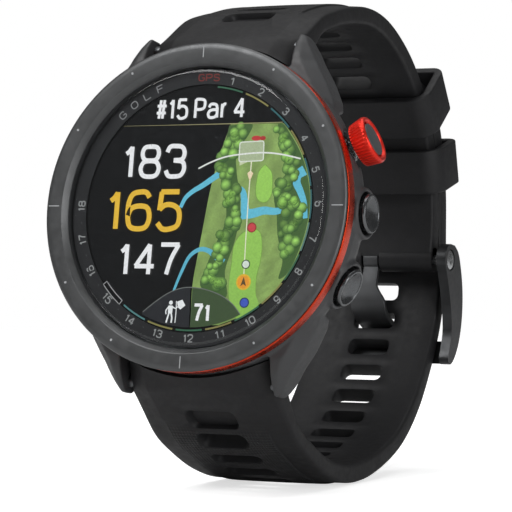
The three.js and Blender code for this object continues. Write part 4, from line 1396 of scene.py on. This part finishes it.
# Takes a piece turned about y to the buckle's pin, which runs along x.
PIN_PLACE = Matrix(((0, 1, 0, 0), (1, 0, 0, PIN[0]), (0, 0, -1, PIN[1]), (0, 0, 0, 1)))


def build_buckle():
    outline = [tuple(q) for q in spline(FRAME_LINE, 6)]
    outline += [(PIN[0] + 2.6 * math.cos(a), PIN[1] + 2.6 * math.sin(a))
                for a in np.linspace(0.55 * math.pi, 1.17 * math.pi, 14)]
    arm = 1.6
    inside = BUCKLE_HALF - arm
    clear = [(60, -16), (69.8, -16), (71.0, -13.1), (72.4, -9.6), (80, -9.6), (80, 20), (60, 20)]
    round_pin = round_outline(*PIN, 1.1, 40)
    head_seat = round_outline(*PIN, 1.75, 48)
    cutters = [
        prism(clear, -inside, inside),
        prism(round_pin, -20, 20),
        prism(head_seat, BUCKLE_HALF - 0.45, 20),
        prism(head_seat, -20, 0.45 - BUCKLE_HALF),
        prism([(72.5, -16), (76, -16), (76, -7), (72.5, -7)], -3.4, 3.4),
    ]
    frame_part = worked(prism(outline, -BUCKLE_HALF, BUCKLE_HALF), cutters)
    item = piece("buckle_loop", frame_part, BUCKLE_STEEL, body="buckle_frame",
                 replaces=["buckle_frame"])
    soften(item, 0.28, 3, 30)
    half = BUCKLE_HALF
    head = [(0, half - 0.05), (0.45, half - 0.05), (0.5, half - 0.35), (0.62, half - 0.35),
            (0.7, half + 0.02), (1.2, half - 0.02), (1.52, half - 0.12), (1.6, half - 0.25),
            (1.6, half - 0.43), (0.8, half - 0.43)]
    line = head + [(0.8, 0.43 - half)] + [(radius, -y) for radius, y in reversed(head[:-1])]
    pin_part = lathe(line, 64)
    piece("buckle_rod", moved(pin_part, PIN_PLACE), STEEL, replaces=["buckle_pin"])
    build_tongue()


def build_tongue():
    path = Path(TONGUE_LINE)
    sections = []
    for distance in np.linspace(0, path.length, 60):
        at, way = path.point(distance), path.tangent(distance)
        side = np.array([way[1], -way[0]])
        left = path.length - distance
        half = 1.3 + 1.7 * smooth(distance, 2.6, 6.2)
        half *= 1 if left > 2 else math.sqrt(max(0.05, 1 - (1 - left / 2) ** 2 * 0.8))
        thick = 0.45 * (1 if left > 0.6 else 0.4 + left)
        corners = rounded([(-half, -thick), (half, -thick), (half, thick), (-half, thick)], 0.22, 3)
        sections.append([(x, *(at + n * side)) for x, n in corners])
    knuckle = rounded([(1.05, -1.3), (1.75, -1.3), (1.75, 1.3), (1.05, 1.3)], 0.2, 3)
    part = joined(loft(sections), moved(lathe(knuckle, 64), PIN_PLACE))
    piece("buckle_prong", part, TONGUE_STEEL, body="buckle_tongue",
          replaces=["buckle_tongue"])


def settle_all():
    build_bezel()
    build_lens()
    build_accent()
    build_display()
    build_case()
    build_buttons()
    build_straps()
    build_eyelet()
    build_keepers()
    build_buckle()


# ---------- stage, lights and camera ----------


def backdrop():
    """A pale round floor; beyond it lies the white of the studio."""
    outline = [(0.0, 0.0), (0.25, 0.0), (0.5, 0.0), (0.75, 0.0)]
    verts, faces = [], []
    count = 96
    for radius, height in outline:
        for k in range(count):
            a = 2 * math.pi * k / count
            verts.append((max(radius, 0.001) * math.cos(a), max(radius, 0.001) * math.sin(a), height))
    for i in range(len(outline) - 1):
        for k in range(count):
            n = (k + 1) % count
            faces.append([i * count + k, i * count + n, (i + 1) * count + n, (i + 1) * count + k])
    faces.append(list(range(count)))
    mesh = bpy.data.meshes.new("floor")
    mesh.from_pydata(verts, [], faces)
    mesh.shade_smooth()
    floor = bpy.data.objects.new("floor", mesh)
    bpy.context.scene.collection.objects.link(floor)
    nodes = Nodes("pale_floor")
    nodes.set(Base_Color=(0.86, 0.86, 0.86, 1), Roughness=0.75, Specular_IOR_Level=0.1,
              Emission_Color=(1, 1, 1, 1), Emission_Strength=0.66)
    plain = nodes.add("ShaderNodeBsdfDiffuse")
    plain.inputs["Color"].default_value = (0.86, 0.86, 0.86, 1)
    show_to_camera(nodes.tree, plain.outputs["BSDF"], nodes.shader.outputs["BSDF"],
                   nodes.output.inputs["Surface"])
    mesh.materials.append(nodes.material)


def show_to_camera(tree, lighting, seen, target):
    """One shader for what is seen directly, and a dimmer one for the light that reaches the watch."""
    path = tree.nodes.new("ShaderNodeLightPath")
    mix = tree.nodes.new("ShaderNodeMixShader")
    tree.links.new(path.outputs["Is Camera Ray"], mix.inputs["Fac"])
    tree.links.new(lighting, mix.inputs[1])
    tree.links.new(seen, mix.inputs[2])
    tree.links.new(mix.outputs["Shader"], target)


def lamp(name, place, target, size, energy, shape="RECTANGLE", tall=None):
    light = bpy.data.lights.new(name, "AREA")
    light.shape = shape
    light.size = size
    if shape == "RECTANGLE":
        light.size_y = tall or size
    light.energy = energy
    item = bpy.data.objects.new(name, light)
    bpy.context.scene.collection.objects.link(item)
    item.location = place
    item.rotation_euler = (Vector(target) - Vector(place)).to_track_quat("-Z", "Y").to_euler()
    return item


def studio():
    world = bpy.data.worlds.new("studio")
    world.use_nodes = True
    tree = world.node_tree
    seen = tree.nodes["Background"]
    seen.inputs["Color"].default_value = (1, 1, 1, 1)
    seen.inputs["Strength"].default_value = 1.0
    lighting = tree.nodes.new("ShaderNodeBackground")
    lighting.inputs["Color"].default_value = (1, 1, 1, 1)
    lighting.inputs["Strength"].default_value = 0.13
    show_to_camera(tree, lighting.outputs[0], seen.outputs[0], tree.nodes["World Output"].inputs["Surface"])
    bpy.context.scene.world = world
    middle = (0, 0, 0.035)
    lamp("key", (-0.35, -0.6, 0.75), middle, 0.5, 5.0)
    lamp("overhead", (0.0, 0.1, 0.9), middle, 0.8, 3.5)
    lamp("side", (0.75, -0.45, 0.2), middle, 0.4, 4.0, tall=0.6)
    bpy.context.scene.view_settings.view_transform = "Standard"


def camera():
    data = bpy.data.cameras.new("camera")
    data.sensor_width = 36
    data.lens = 176.5
    data.clip_start = 0.01
    data.clip_end = 20
    item = bpy.data.objects.new("camera", data)
    bpy.context.scene.collection.objects.link(item)
    item.location = WATCH @ Vector(EYE)
    turn = Matrix.Rotation(math.radians(CAMERA_TURN), 3, "Z")
    turn = turn @ Matrix.Rotation(math.radians(90 + CAMERA_TILT), 3, "X")
    item.rotation_euler = (turn @ Matrix.Rotation(math.radians(CAMERA_ROLL), 3, "Z")).to_euler()
    bpy.context.scene.camera = item


# Where the camera stands, in the watch's own directions, and how it turns, tilts and rolls, in degrees.
EYE = (156.43, -310.5, -56.5)
CAMERA_TURN = 24.9
CAMERA_TILT = -0.06
CAMERA_ROLL = 0.3

finish_cad_nodes()
settle_all()
backdrop()
studio()
camera()
